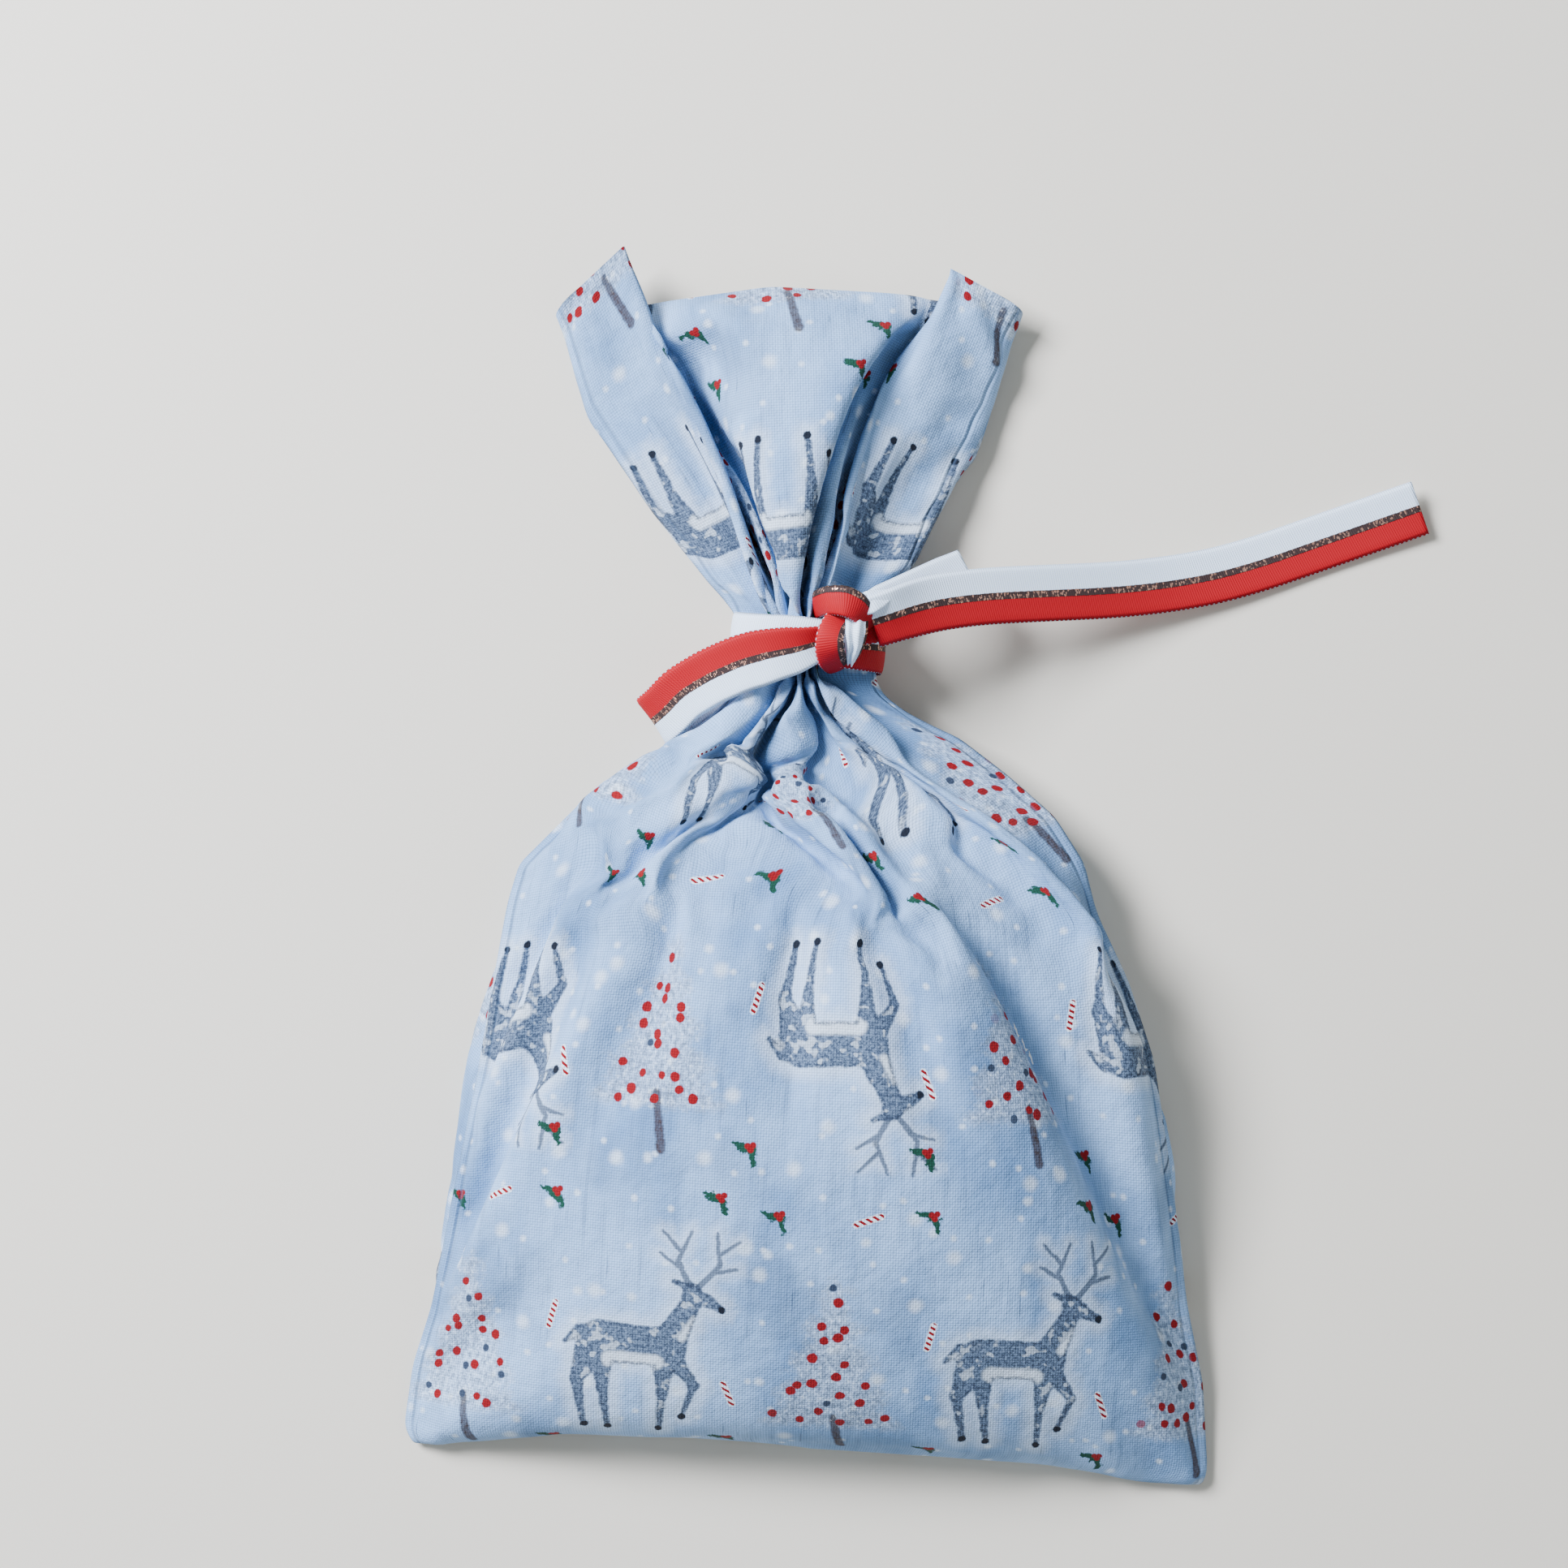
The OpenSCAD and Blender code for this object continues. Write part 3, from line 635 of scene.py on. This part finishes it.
tuck = {
    "route": [(8.6, 46.0, 22.6), (11.2, 46.8, 22.9), (14.0, 48.0, 21.7), (16.0, 49.2, 20.4)],
    "tilt": [(-0.3, 1, 0), (-0.4, 0.95, 0), (-0.5, 0.9, 0), (-0.5, 0.9, 0)],
}
tiedRibbon("tuckedEnd", tuck, None, (0.58, 0.98), width=[3.6, 4.2, 3.4, 1.8, 0.5], count=30)
print("ribbon ready")


# the pouch's cloth, simulated as one bag
bag = {
    "halfWidth": 75.0, "neckAt": 172.0, "length": 247.0, "step": 2.5,   # flat bag, mm
    "neck": (12.3, 8.2, 10.0), "neckY": 38.0, "neckHold": 5.5, "pleats": (25.0, 15.0),
    "lip": 2.5,                      # flat edge outside the side seams
    "simScale": 10.0,                # the cloth is solved ten times as large
    "frames": 64, "tieFrames": 30, "pressFrames": (26, 48),
    "pressure": 10.0, "bending": (3.0, 6.0), "stretch": 25.0, "mass": 0.05, "gravity": 0.05, "quality": 6,
    "thick": 0.42,
}
outline = {   # where the seams, the bottom fold and the collar's folds lie: x, y, height
    "leftSeam": [(-70.5, -103, 1.6), (-72.6, -99, 1.8), (-71, -88, 3), (-67.4, -77, 5.5), (-63, -55, 9), (-59, -36, 11),
                 (-56, -19, 12), (-53.6, -5.7, 12), (-51.4, 1.6, 12), (-44, 9, 11), (-37, 16, 10), (-24, 23, 9.5),
                 (-13, 31, 10)],
    "rightSeam": [(70.5, -110.5, 1.6), (72, -107, 1.8), (71, -91, 3.5), (68, -77, 6), (66, -62, 8.5), (64, -48, 10),
                  (61.6, -33, 11.5), (57, -19, 12), (51.4, -7, 12), (49.3, 1.6, 12), (44, 10, 11.5), (35.5, 17.5, 11),
                  (27, 24, 10.5), (18, 28, 10), (12.5, 32, 10)],
    "bottom": [(-70.5, -103, 1.6), (-65, -103, 2), (-46, -100, 4.5), (-28, -100, 6.5), (0.7, -102.4, 8),
               (22.5, -104, 7.5), (44, -106.2, 5), (59, -109.8, 2.5), (70.5, -110.5, 1.6)],
    "leftOuter": [(-12.3, 43.5, 10), (-21, 54, 8), (-28, 62.5, 6), (-40, 80, 4), (-45, 98, 4.5)],
    "rightOuter": [(12.3, 43.5, 10), (19.6, 54, 8), (27, 68, 6), (34, 83, 4), (38.5, 98.4, 4.5)],
    "leftInner": [(-4.5, 43.5, 17.5), (-7, 50, 16), (-14, 68, 12), (-23, 86.5, 9.5), (-28, 101.6, 9.5),
                  (-32, 110.5, 10)],
    "rightInner": [(1, 43.5, 18), (1.6, 50, 16.5), (5.8, 62.5, 13), (13, 83, 10), (19.6, 93, 9.5), (25, 106.2, 10)],
}
# cloth distance round the mouth from the left seam, then x, y, height
mouth = [(0, -45, 98, 4.5), (3, -44, 99.5, 8), (19, -32, 110.5, 10), (21, -31.6, 109.5, 8.4), (36, -43, 98.5, 6.2),
         (39, -41.5, 98, 4.6), (58, -24, 101, 4.8), (76, -6.5, 103.3, 6.5), (96, 13, 102.3, 5.5),
         (112, 30, 100, 4.6), (115, 32, 99.3, 5.6), (131, 25.8, 105.5, 8.6), (133, 25, 106.2, 10),
         (147, 37.5, 99.5, 8), (150, 38.5, 98.4, 4.5), (152, 38, 98.4, 2.6), (206, -14, 100.5, 2.6),
         (208, -15, 100.5, 2.0), (242, 18, 100.5, 1.6), (244, 18.5, 100.5, 0.9), (298, -44.5, 98.2, 0.9),
         (300, -45, 98, 4.5)]
neckAngle = [(0, 180), (19, 118), (36, 112), (116, 86), (132, 80), (150, 0), (300, -180)]
pleatDepth = [(0, 0), (8, 0.8), (16, 0.95), (140, 0.95), (150, 0.2), (157, 0.95), (293, 0.95), (300, 0)]
# hollows that the neck's pull draws into the front: thickness of the hollow, and its line
hollows = {
    "leftTrough": (7.0, [(-8.6, 20.5, 8.5), (-16.5, 13.4, 9.5), (-24.2, 7.9, 12.5), (-29.7, 3.3, 17), (-33, -1, 25)]),
    "rightTrough": (7.0, [(-6.5, 17.5, 9.0), (-0.9, 10.3, 11.5), (4.5, 5.6, 14.5), (9.9, 0.2, 20), (13.5, -5, 29)]),
    "rightValley": (2.6, [(1.8, 29, 11.5), (2.6, 24.3, 11), (11.5, 19.4, 13.0), (22.3, 13.5, 15), (37.9, 3.6, 16.5),
                          (47.2, -6, 18.5), (51.9, -14.5, 19)]),
    "shoulderUpper": (2.1, [(-5, 29, 15.5), (-8.7, 25, 17), (-18, 20.4, 19), (-30, 14.0, 19), (-40, 7.5, 17.5)]),
    "shoulderLower": (1.6, [(-20, 24.4, 14.5), (-31, 18.4, 14.5), (-41, 11.5, 14)]),
}
earFold = {"left": 19.0, "right": 131.0}     # cloth distance of each flap's free fold
columns = int(round(2 * bag["halfWidth"] / bag["step"]))
rows = int(round(bag["length"] / bag["step"]))
aroundU = np.linspace(-bag["halfWidth"], bag["halfWidth"], columns + 1)
aroundU = np.concatenate([aroundU, aroundU[-2:0:-1]])
around = len(aroundU)
onBack = np.arange(around) > columns
aroundS = np.where(onBack, 3 * bag["halfWidth"] - aroundU, aroundU + bag["halfWidth"])
rowV = np.linspace(0, bag["length"], rows + 1)


def knotOf(row, k):
    k %= around
    if row == 0:                                  # the bottom is a fold, so both sides share its points
        return k if k <= columns else around - k
    return columns + 1 + (row - 1) * around + k


def clothStart():
    flatHeight, rise, corner = 6.0, 6, 6.0
    points, marks, faces = [], [], []
    for row in range(rows + 1):
        for k in range(around):
            if row == 0 and onBack[k]:
                continue
            bulge = flatHeight * math.sqrt(max(0, 1 - (aroundU[k] / bag["halfWidth"]) ** 2)) * min(1, row / rise)
            inside = max(0, corner - rowV[row]) / corner
            cut = corner * (1 - math.sqrt(1 - inside ** 2)) * 0.6
            points.append((aroundU[k] * (1 - cut / bag["halfWidth"]), bag["neckY"] - bag["neckAt"] + rowV[row],
                           10 + (-bulge if onBack[k] else bulge)))
            marks.append((aroundU[k], -rowV[row] if onBack[k] else rowV[row]))
    for row in range(rows):
        for k in range(around):
            ring = [knotOf(row, k), knotOf(row, k + 1), knotOf(row + 1, k + 1), knotOf(row + 1, k)]
            ring = list(dict.fromkeys(ring))
            if len(ring) > 2:
                faces.append(ring)
    return np.array(points), np.array(marks), faces


def heldPlaces(start):
    target, held = start.copy(), np.zeros(len(start), bool)
    a, b, height = bag["neck"]
    angle = np.radians(between(aroundS, neckAngle)[:, 0])
    front, back = bag["pleats"]
    pleat = np.where(onBack, (aroundS - 2 * bag["halfWidth"]) / back, aroundS / front)
    size = 1 - between(aroundS, pleatDepth)[:, 0] * (1 - np.cos(2 * math.pi * pleat)) / 2
    below = bag["neckAt"] - bag["neckHold"]
    above = bag["neckAt"] + bag["neckHold"]

    def hold(point, place):
        target[point], held[point] = place, True

    for row in range(1, rows + 1):
        ids = [knotOf(row, k) for k in range(around)]
        fromNeck = rowV[row] - bag["neckAt"]
        if abs(fromNeck) <= bag["neckHold"]:
            ring = np.stack([a * size * np.cos(angle), np.full(around, bag["neckY"] + 0.9 * fromNeck),
                             height + b * size * np.sin(angle)], -1)
            hold(ids, ring)
        if row == rows:
            hold(ids, between(aroundS, mouth))
    for row in range(rows + 1):
        v = rowV[row]
        if v < below:
            for k, name, step in ((0, "leftSeam", 1), (columns, "rightSeam", -1)):
                here = evenly(outline[name], v / below)
                hold(knotOf(row, k), here)
                if row > 1 and v < below - 12:     # the lip outside the seam stays flat
                    ahead = (evenly(outline[name], min(1, v / below + 0.01))
                             - evenly(outline[name], max(0, v / below - 0.01)))
                    inward = unit(np.array([ahead[1], -ahead[0], 0.0])) * step * (bag["lip"] - 0.2)
                    hold(knotOf(row, k + step), here + inward + [0, 0, 0.55])
                    hold(knotOf(row, k - step), here + inward - [0, 0, 0.35])
        if v > above:
            share = (v - above) / (bag["length"] - above)
            for k, name in ((0, "leftOuter"), (columns, "rightOuter"),
                            (int(round(earFold["left"] / bag["step"])), "leftInner"),
                            (int(round(earFold["right"] / bag["step"])), "rightInner")):
                hold(knotOf(row, k), evenly(outline[name], share))
    for k in range(columns + 1):
        hold(knotOf(0, k), evenly(outline["bottom"], k / columns))
    return target, held


def keyShape(thing, later, start, end):
    scale = mm * bag["simScale"]
    thing.shape_key_add(name="before")
    key = thing.shape_key_add(name="after")
    key.data.foreach_set("co", (later * scale).astype(np.float32).ravel())
    for value, frameNumber in ((0, start), (1, end)):
        key.value = value
        key.keyframe_insert("value", frame=frameNumber)


def collide(thing, gap, friction):
    thing.modifiers.new("hard", "COLLISION")
    thing.collision.thickness_outer = gap
    thing.collision.cloth_friction = friction


def pressBar(radius, points):
    # a smooth rod that comes down on the cloth along one hollow
    count, sides, lift = 24, 10, 45.0
    line = smooth(points, count)
    line[:, 2] += radius
    ahead = unit(np.gradient(line, axis=0))
    side = unit(np.cross(ahead, [0, 0, 1.0]))
    up = np.cross(side, ahead)
    turn = 2 * math.pi * np.arange(sides) / sides
    size = np.full(count, radius)
    size[[0, -1]] *= 0.35
    ring = np.cos(turn)[:, None] * side[:, None] + np.sin(turn)[:, None] * up[:, None]
    places = (line[:, None] + size[:, None, None] * ring).reshape(-1, 3)
    faces = [(i * sides + k, i * sides + (k + 1) % sides, (i + 1) * sides + (k + 1) % sides, (i + 1) * sides + k)
             for i in range(count - 1) for k in range(sides)]
    faces += [tuple(range(sides))[::-1], tuple((count - 1) * sides + k for k in range(sides))]
    data = bpy.data.meshes.new("pressBar")
    data.from_pydata(((places + [0, 0, lift]) * mm * bag["simScale"]).tolist(), [], faces)
    bar = bpy.data.objects.new("pressBar", data)
    scene.collection.objects.link(bar)
    keyShape(bar, places, *bag["pressFrames"])
    collide(bar, 0.003, 0)
    return bar


def simulateBag():
    start, marks, faces = clothStart()
    target, held = heldPlaces(start)
    scale = mm * bag["simScale"]
    data = bpy.data.meshes.new("wetCloth")
    data.from_pydata((start * scale).tolist(), [], faces)
    cloth = bpy.data.objects.new("wetCloth", data)
    scene.collection.objects.link(cloth)
    keyShape(cloth, target, 1, bag["tieFrames"])
    u, v = np.abs(marks[:, 0]), np.abs(marks[:, 1])
    free = (np.abs(v - bag["neckAt"]) < 9) | (v > bag["length"] - 4) | (u > bag["halfWidth"] - 3)
    for name, chosen in (("pins", held), ("filled", v < bag["neckAt"] - 6), ("noSelf", free)):
        cloth.vertex_groups.new(name=name).add(np.nonzero(chosen)[0].tolist(), 1.0, "REPLACE")
    deselect()
    bpy.ops.mesh.primitive_plane_add(size=8, location=(0, 0, 0))
    ground = bpy.context.object
    collide(ground, 0.003, 5)
    helpers = [ground] + [pressBar(radius, points) for radius, points in hollows.values()]
    modifier = cloth.modifiers.new("cloth", "CLOTH")
    s, c = modifier.settings, modifier.collision_settings
    s.quality, s.mass, s.air_damping = bag["quality"], bag["mass"], 2
    s.tension_stiffness = s.compression_stiffness = bag["stretch"]
    s.shear_stiffness = 4
    s.bending_stiffness, s.bending_stiffness_max = bag["bending"]      # the filled body folds less sharply
    s.vertex_group_bending = "filled"
    s.tension_damping = s.compression_damping = 5
    s.vertex_group_mass, s.pin_stiffness = "pins", 1
    s.use_pressure, s.uniform_pressure_force, s.vertex_group_pressure = True, bag["pressure"], "filled"
    s.effector_weights.gravity = bag["gravity"]
    c.use_collision, c.distance_min, c.collision_quality = True, 0.003, 3
    c.use_self_collision, c.self_distance_min, c.vertex_group_self_collisions = True, 0.006, "noSelf"
    modifier.point_cache.frame_end = bag["frames"]
    for number in range(1, bag["frames"] + 1):
        scene.frame_set(number)
    shaped = cloth.evaluated_get(bpy.context.evaluated_depsgraph_get()).data
    places = np.empty(len(shaped.vertices) * 3, np.float32)
    shaped.vertices.foreach_get("co", places)
    places = places.reshape(-1, 3).astype(float) / scale
    for thing in helpers + [cloth]:
        bpy.data.objects.remove(thing)
    scene.frame_set(1)
    return places, marks, faces


places, marks, faces = simulateBag()
print("cloth simulated, height", round(float(places[:, 2].max()), 1), "mm")


# one fine mesh, then its separate pieces
def refine(places, marks, faces):
    uv = []
    for f in faces:
        back = any(marks[k][1] < 0 for k in f)
        for k in f:
            u, v = marks[k]
            uv.append((u * mm, (-abs(v) if back else abs(v)) * mm))
    whole = makeMesh("wholeBag", places, faces, uv, clothFace)
    deselect()
    bpy.context.view_layer.objects.active = whole
    whole.select_set(True)
    modifier = whole.modifiers.new("finer", "SUBSURF")
    modifier.levels = modifier.render_levels = 1
    bpy.ops.object.modifier_apply(modifier=modifier.name)
    data = whole.data
    co = np.empty(len(data.vertices) * 3)
    data.vertices.foreach_get("co", co)
    normal = np.empty(len(data.vertices) * 3)
    data.vertices.foreach_get("normal", normal)
    corners = np.empty(len(data.loops), int)
    data.loops.foreach_get("vertex_index", corners)
    uv = np.empty(len(data.loops) * 2)
    data.uv_layers["cloth"].data.foreach_get("uv", uv)
    co, normal, corners, uv = co.reshape(-1, 3), normal.reshape(-1, 3), corners.reshape(-1, 4), uv.reshape(-1, 4, 2)
    bpy.data.objects.remove(whole)
    return co / mm, normal, corners, uv


points, normals, quads, quadUv = refine(places, marks, faces)
middle = points[quads].mean(1)
faceUv = quadUv.mean(1) / mm
# normals have to look out of the bag
frontMiddle = (faceUv[:, 1] > 40) & (faceUv[:, 1] < 90) & (abs(faceUv[:, 0]) < 30)
outwardSign = 1.0 if normals[quads[frontMiddle]][..., 2].mean() > 0 else -1.0
normals *= outwardSign
isBack = faceUv[:, 1] < 0
faceV = abs(faceUv[:, 1])
faceS = np.where(isBack, 3 * bag["halfWidth"] - faceUv[:, 0], faceUv[:, 0] + bag["halfWidth"])
hinges = {   # the fold at the base of each flap: a point on it, the way the flap lies from it
    "left": {"at": (-27.25, 77.5), "out": (0.7586, 0.6516)},
    "right": {"at": (21.5, 77.6), "out": (-0.765, 0.644)},
}


def beyond(side, place):
    h = hinges[side]
    return (place[..., 0] - h["at"][0]) * h["out"][0] + (place[..., 1] - h["at"][1]) * h["out"][1]


cut = {   # where the bag is cut into its pieces, mm
    "below": 7.5, "above": 9.0,            # along the cloth from the ribbon
    "flapsFrom": 64.0,                     # height of the flaps' lower ends in the layout
    "leftTo": 37.0, "rightFrom": 114.0,    # along the mouth from the left seam
}
neckFrom, neckTo = bag["neckAt"] - cut["below"], bag["neckAt"] + cut["above"]
loose = ~isBack & (faceV > neckTo) & (middle[:, 1] > cut["flapsFrom"])
inLeft = loose & (faceS < cut["leftTo"]) & (beyond("left", middle) > 0)
inRight = loose & (faceS > cut["rightFrom"]) & (beyond("right", middle) > 0)
parts = {
    "frontPanel": ~isBack & (faceV < neckFrom),
    "backPanel": isBack & (faceV < neckFrom),
    "neckGathers": (faceV >= neckFrom) & (faceV <= neckTo),
    "collarBack": isBack & (faceV > neckTo),
    "collarFront": ~isBack & (faceV > neckTo) & ~inLeft & ~inRight,
    "leftFlap": inLeft,
    "rightFlap": inRight,
}


def rimOf(rings):
    # the edges that belong to one ring only, and where they are in it
    rim = {}
    for f, ring in enumerate(rings):
        for k in range(len(ring)):
            a, b = ring[k], ring[(k + 1) % len(ring)]
            if rim.pop((b, a), None) is None:
                rim[(a, b)] = (f, k)
    return rim


def clothPiece(name, chosen):
    # the chosen faces as cloth with a thickness, sharing its edge points with its neighbours
    used = quads[chosen]
    ids, local = np.unique(used, return_inverse=True)
    local = local.reshape(used.shape)
    outer, n = points[ids], normals[ids]
    inner = outer - n * bag["thick"]
    count = len(ids)
    uv = quadUv[chosen]
    if outwardSign < 0:
        local, uv = local[:, ::-1], uv[:, ::-1]
    faces = local.tolist() + (local[:, ::-1] + count).tolist()
    marks = uv.reshape(-1, 2).tolist() + uv[:, ::-1].reshape(-1, 2).tolist()
    for (a, b), (f, k) in rimOf(local.tolist()).items():
        first, second = uv[f, k].tolist(), uv[f, (k + 1) % 4].tolist()
        faces.append([b, a, a + count, b + count])
        marks += [second, first, first, second]
    piece = makeMesh(name, np.vstack([outer, inner]), faces, marks, clothFace)
    piece.data.normals_split_custom_set_from_vertices(np.vstack([n, -n]).tolist())
    return piece


clothPieces = {name: clothPiece(name, chosen) for name, chosen in parts.items()}
print("cloth cut into", len(clothPieces), "pieces")


def gridPoint(u, v, back):
    # a place and its normal on the simulated cloth, from cloth coordinates in mm
    column = (np.clip(u, -bag["halfWidth"], bag["halfWidth"]) + bag["halfWidth"]) / bag["step"]
    row = np.clip(v, 0, bag["length"]) / bag["step"]
    i, j = int(min(column, columns - 1)), int(min(row, rows - 1))
    f, g = column - i, row - j

    def spot(a, b):
        return places[knotOf(b, a if not back else (around - a) % around)]

    p00, p10, p01, p11 = spot(i, j), spot(i + 1, j), spot(i, j + 1), spot(i + 1, j + 1)
    place = (p00 * (1 - f) + p10 * f) * (1 - g) + (p01 * (1 - f) + p11 * f) * g
    n = np.cross(p10 - p00 + p11 - p01, p01 - p00 + p11 - p10)
    return place, unit(n) * (-1 if back else 1)


def lining(name, us, vs, back, depth, thick, keep=None):
    # a lining under the cloth between us and vs, at a depth inside it
    top, low, marks = [], [], []
    for v in vs:
        for u in us:
            place, n = gridPoint(u, v, back)
            top.append(place - n * depth)
            low.append(place - n * (depth + thick))
            marks.append((u * mm, v * mm))
    return slab(name, top, low, marks, len(vs), len(us), clothWrong, keep)


def slab(name, top, low, marks, nv, nu, material, keep=None):
    # a closed slab between two grids of points, or only its cells that keep allows
    count = nv * nu
    faces, uv = [], []
    rings = [[r * nu + c, r * nu + c + 1, (r + 1) * nu + c + 1, (r + 1) * nu + c]
             for r in range(nv - 1) for c in range(nu - 1) if keep is None or keep(top[r * nu + c])]
    for ring in rings:
        under = [k + count for k in ring[::-1]]
        faces += [ring, under]
        uv += [marks[k % count] for k in ring + under]
    for a, b in rimOf(rings):
        faces.append([b, a, a + count, b + count])
        uv += [marks[b], marks[a], marks[a], marks[b]]
    used = sorted({k for f in faces for k in f})
    new = {k: i for i, k in enumerate(used)}
    everything = list(top) + list(low)
    piece = makeMesh(name, [everything[k] for k in used], [[new[k] for k in f] for f in faces], uv, material)
    outward(piece)
    return piece


facing = {"depth": 0.9, "thick": 0.4, "hem": 25.0, "flapDepth": 0.7, "flapThick": 0.3, "fromFold": 1.5}
seam = {"wide": 6.0, "from": 10.0, "to": 128.0, "inside": 4.0, "depth": 0.9, "thick": 0.8}
stitch = {"pitch": 2.8, "long": 2.0, "wide": 0.5, "inside": 7.0, "top": 1.9, "sunk": 2.13, "bottom": 1.75}
edgeV = np.linspace(bag["length"] - facing["hem"], bag["length"] - 0.8, 12)
inner = {}
hems = {"backFacing": (np.linspace(-72, 72, 60), True), "frontFacing": (np.linspace(-34, 37, 34), False)}
for name, (us, back) in hems.items():
    inner[name] = lining(name, us, edgeV, back, facing["depth"], facing["thick"])
for side, us in (("left", np.linspace(-72, -60, 9)), ("right", np.linspace(60, 72, 9))):
    name = side + "FlapFacing"
    inner[name] = lining(name, us, edgeV, False, facing["flapDepth"], facing["flapThick"],
                         lambda place: beyond(side, place) > facing["fromFold"])
seamV = np.linspace(seam["from"], seam["to"], 60)
for side, sign in (("left", -1), ("right", 1)):
    outerU = bag["halfWidth"] - seam["inside"]
    us = np.linspace(sign * outerU, sign * (outerU - seam["wide"]), 5)
    inner[side + "Allowance"] = lining(side + "Allowance", us, seamV, False, seam["depth"], seam["thick"])


def stitchRow(side, sign):
    # short stitches, each sunk into the cloth at its middle
    tops, lows, faces = [], [], []
    v = seam["from"] + 2
    while v < seam["to"] - 4:
        for share in (0.0, 0.5, 1.0):
            for du in (-stitch["wide"] / 2, stitch["wide"] / 2):
                at = sign * (bag["halfWidth"] - stitch["inside"]) + du
                place, n = gridPoint(at, v + share * stitch["long"], False)
                tops.append(place - n * (stitch["sunk"] if share == 0.5 else stitch["top"]))
                lows.append(place - n * stitch["bottom"])
        v += stitch["pitch"]
    count = len(tops)
    for base in range(0, count, 6):
        for r in (0, 2):
            a, b, c, d = base + r, base + r + 1, base + r + 3, base + r + 2
            faces += [(a, b, c, d), (d + count, c + count, b + count, a + count)]
            faces += [(a, d, d + count, a + count), (c, b, b + count, c + count)]
        faces += [(base + 1, base, base + count, base + 1 + count),
                  (base + 4, base + 5, base + 5 + count, base + 4 + count)]
    uv = [(0.0, 0.0)] * sum(len(f) for f in faces)
    piece = makeMesh(side + "Stitching", tops + lows, faces, uv, threadTwist, False)
    outward(piece)
    return piece


for side, sign in (("left", -1), ("right", 1)):
    inner[side + "Stitching"] = stitchRow(side, sign)


bundle = {"half": 52.0, "from": 16.0, "to": 106.0, "inside": 3.5, "rounding": 13.0}


def filling():
    us, vs = np.linspace(-bundle["half"], bundle["half"], 46), np.linspace(bundle["from"], bundle["to"], 44)
    exact = np.array([[[gridPoint(u, v, back)[0] for u in us] for v in vs] for back in (False, True)])
    eased = exact.copy()
    for _ in range(12):                              # the contents don't follow the small folds
        eased[:, 1:-1, 1:-1] = (eased[:, :-2, 1:-1] + eased[:, 2:, 1:-1] + eased[:, 1:-1, :-2] + eased[:, 1:-1, 2:]) / 4
    top, low, marks = [], [], []
    for r, v in enumerate(vs):
        for c, u in enumerate(us):
            edge = min(1.0, min(bundle["half"] - abs(u), v - bundle["from"], bundle["to"] - v) / bundle["rounding"])
            swell = max(0.03, math.sqrt(max(0.0, 1 - (1 - edge) ** 2)))
            centre = eased[:, r, c].mean(0)
            for k, side in enumerate((top, low)):
                away = eased[k, r, c] - centre
                length = min(np.linalg.norm(away), np.linalg.norm(exact[k, r, c] - centre))
                side.append(centre + unit(away) * max(0.6, length - bundle["inside"]) * swell)
            marks.append((u * mm, v * mm))
    return slab("giftBundle", top, low, marks, len(vs), len(us), tissue)


inner["giftBundle"] = filling()
print("linings, stitching and filling ready")

# the model.glb parts that the pieces stand for are hidden; the collar and flap pieces are baked in place, the rest move
# with the pouch
stands = {
    "backFacing": "back_hem_facing", "frontFacing": "front_hem_facing",
    "leftFlapFacing": "left_flap_facing", "rightFlapFacing": "right_flap_facing",
    "leftAllowance": "left_seam_allowance", "rightAllowance": "right_seam_allowance",
}
for name, node in stands.items():
    replaceNode(node)
for side in ("left", "right"):
    replaceNode(side + "_seam_stitching")
replaceNode("gift_bundle")
for name, piece in clothPieces.items():
    node = "".join("_" + letter.lower() if letter.isupper() else letter for letter in name)
    replaceNode(node)
everyPiece = {**clothPieces, **inner}
for name in ("collarBack", "collarFront", "backFacing", "frontFacing"):
    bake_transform(everyPiece[name])
for side, body in (("left", "left_flap"), ("right", "right_flap")):
    h = hinges[side]
    for name in (side + "Flap", side + "FlapFacing"):
        start = [h["at"][k] * mm for k in range(2)] + [0.0069]
        end = [(h["at"][k] + h["out"][k] * 5) * mm for k in range(2)] + [0.0069]
        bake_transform(everyPiece[name])
for name in ("frontPanel", "backPanel", "neckGathers", "leftAllowance", "rightAllowance", "leftStitching",
             "rightStitching", "giftBundle"):
    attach(everyPiece[name], "pouch")

for name in ("leftFlap", "rightFlap"):
    inner[name + "Facing"]
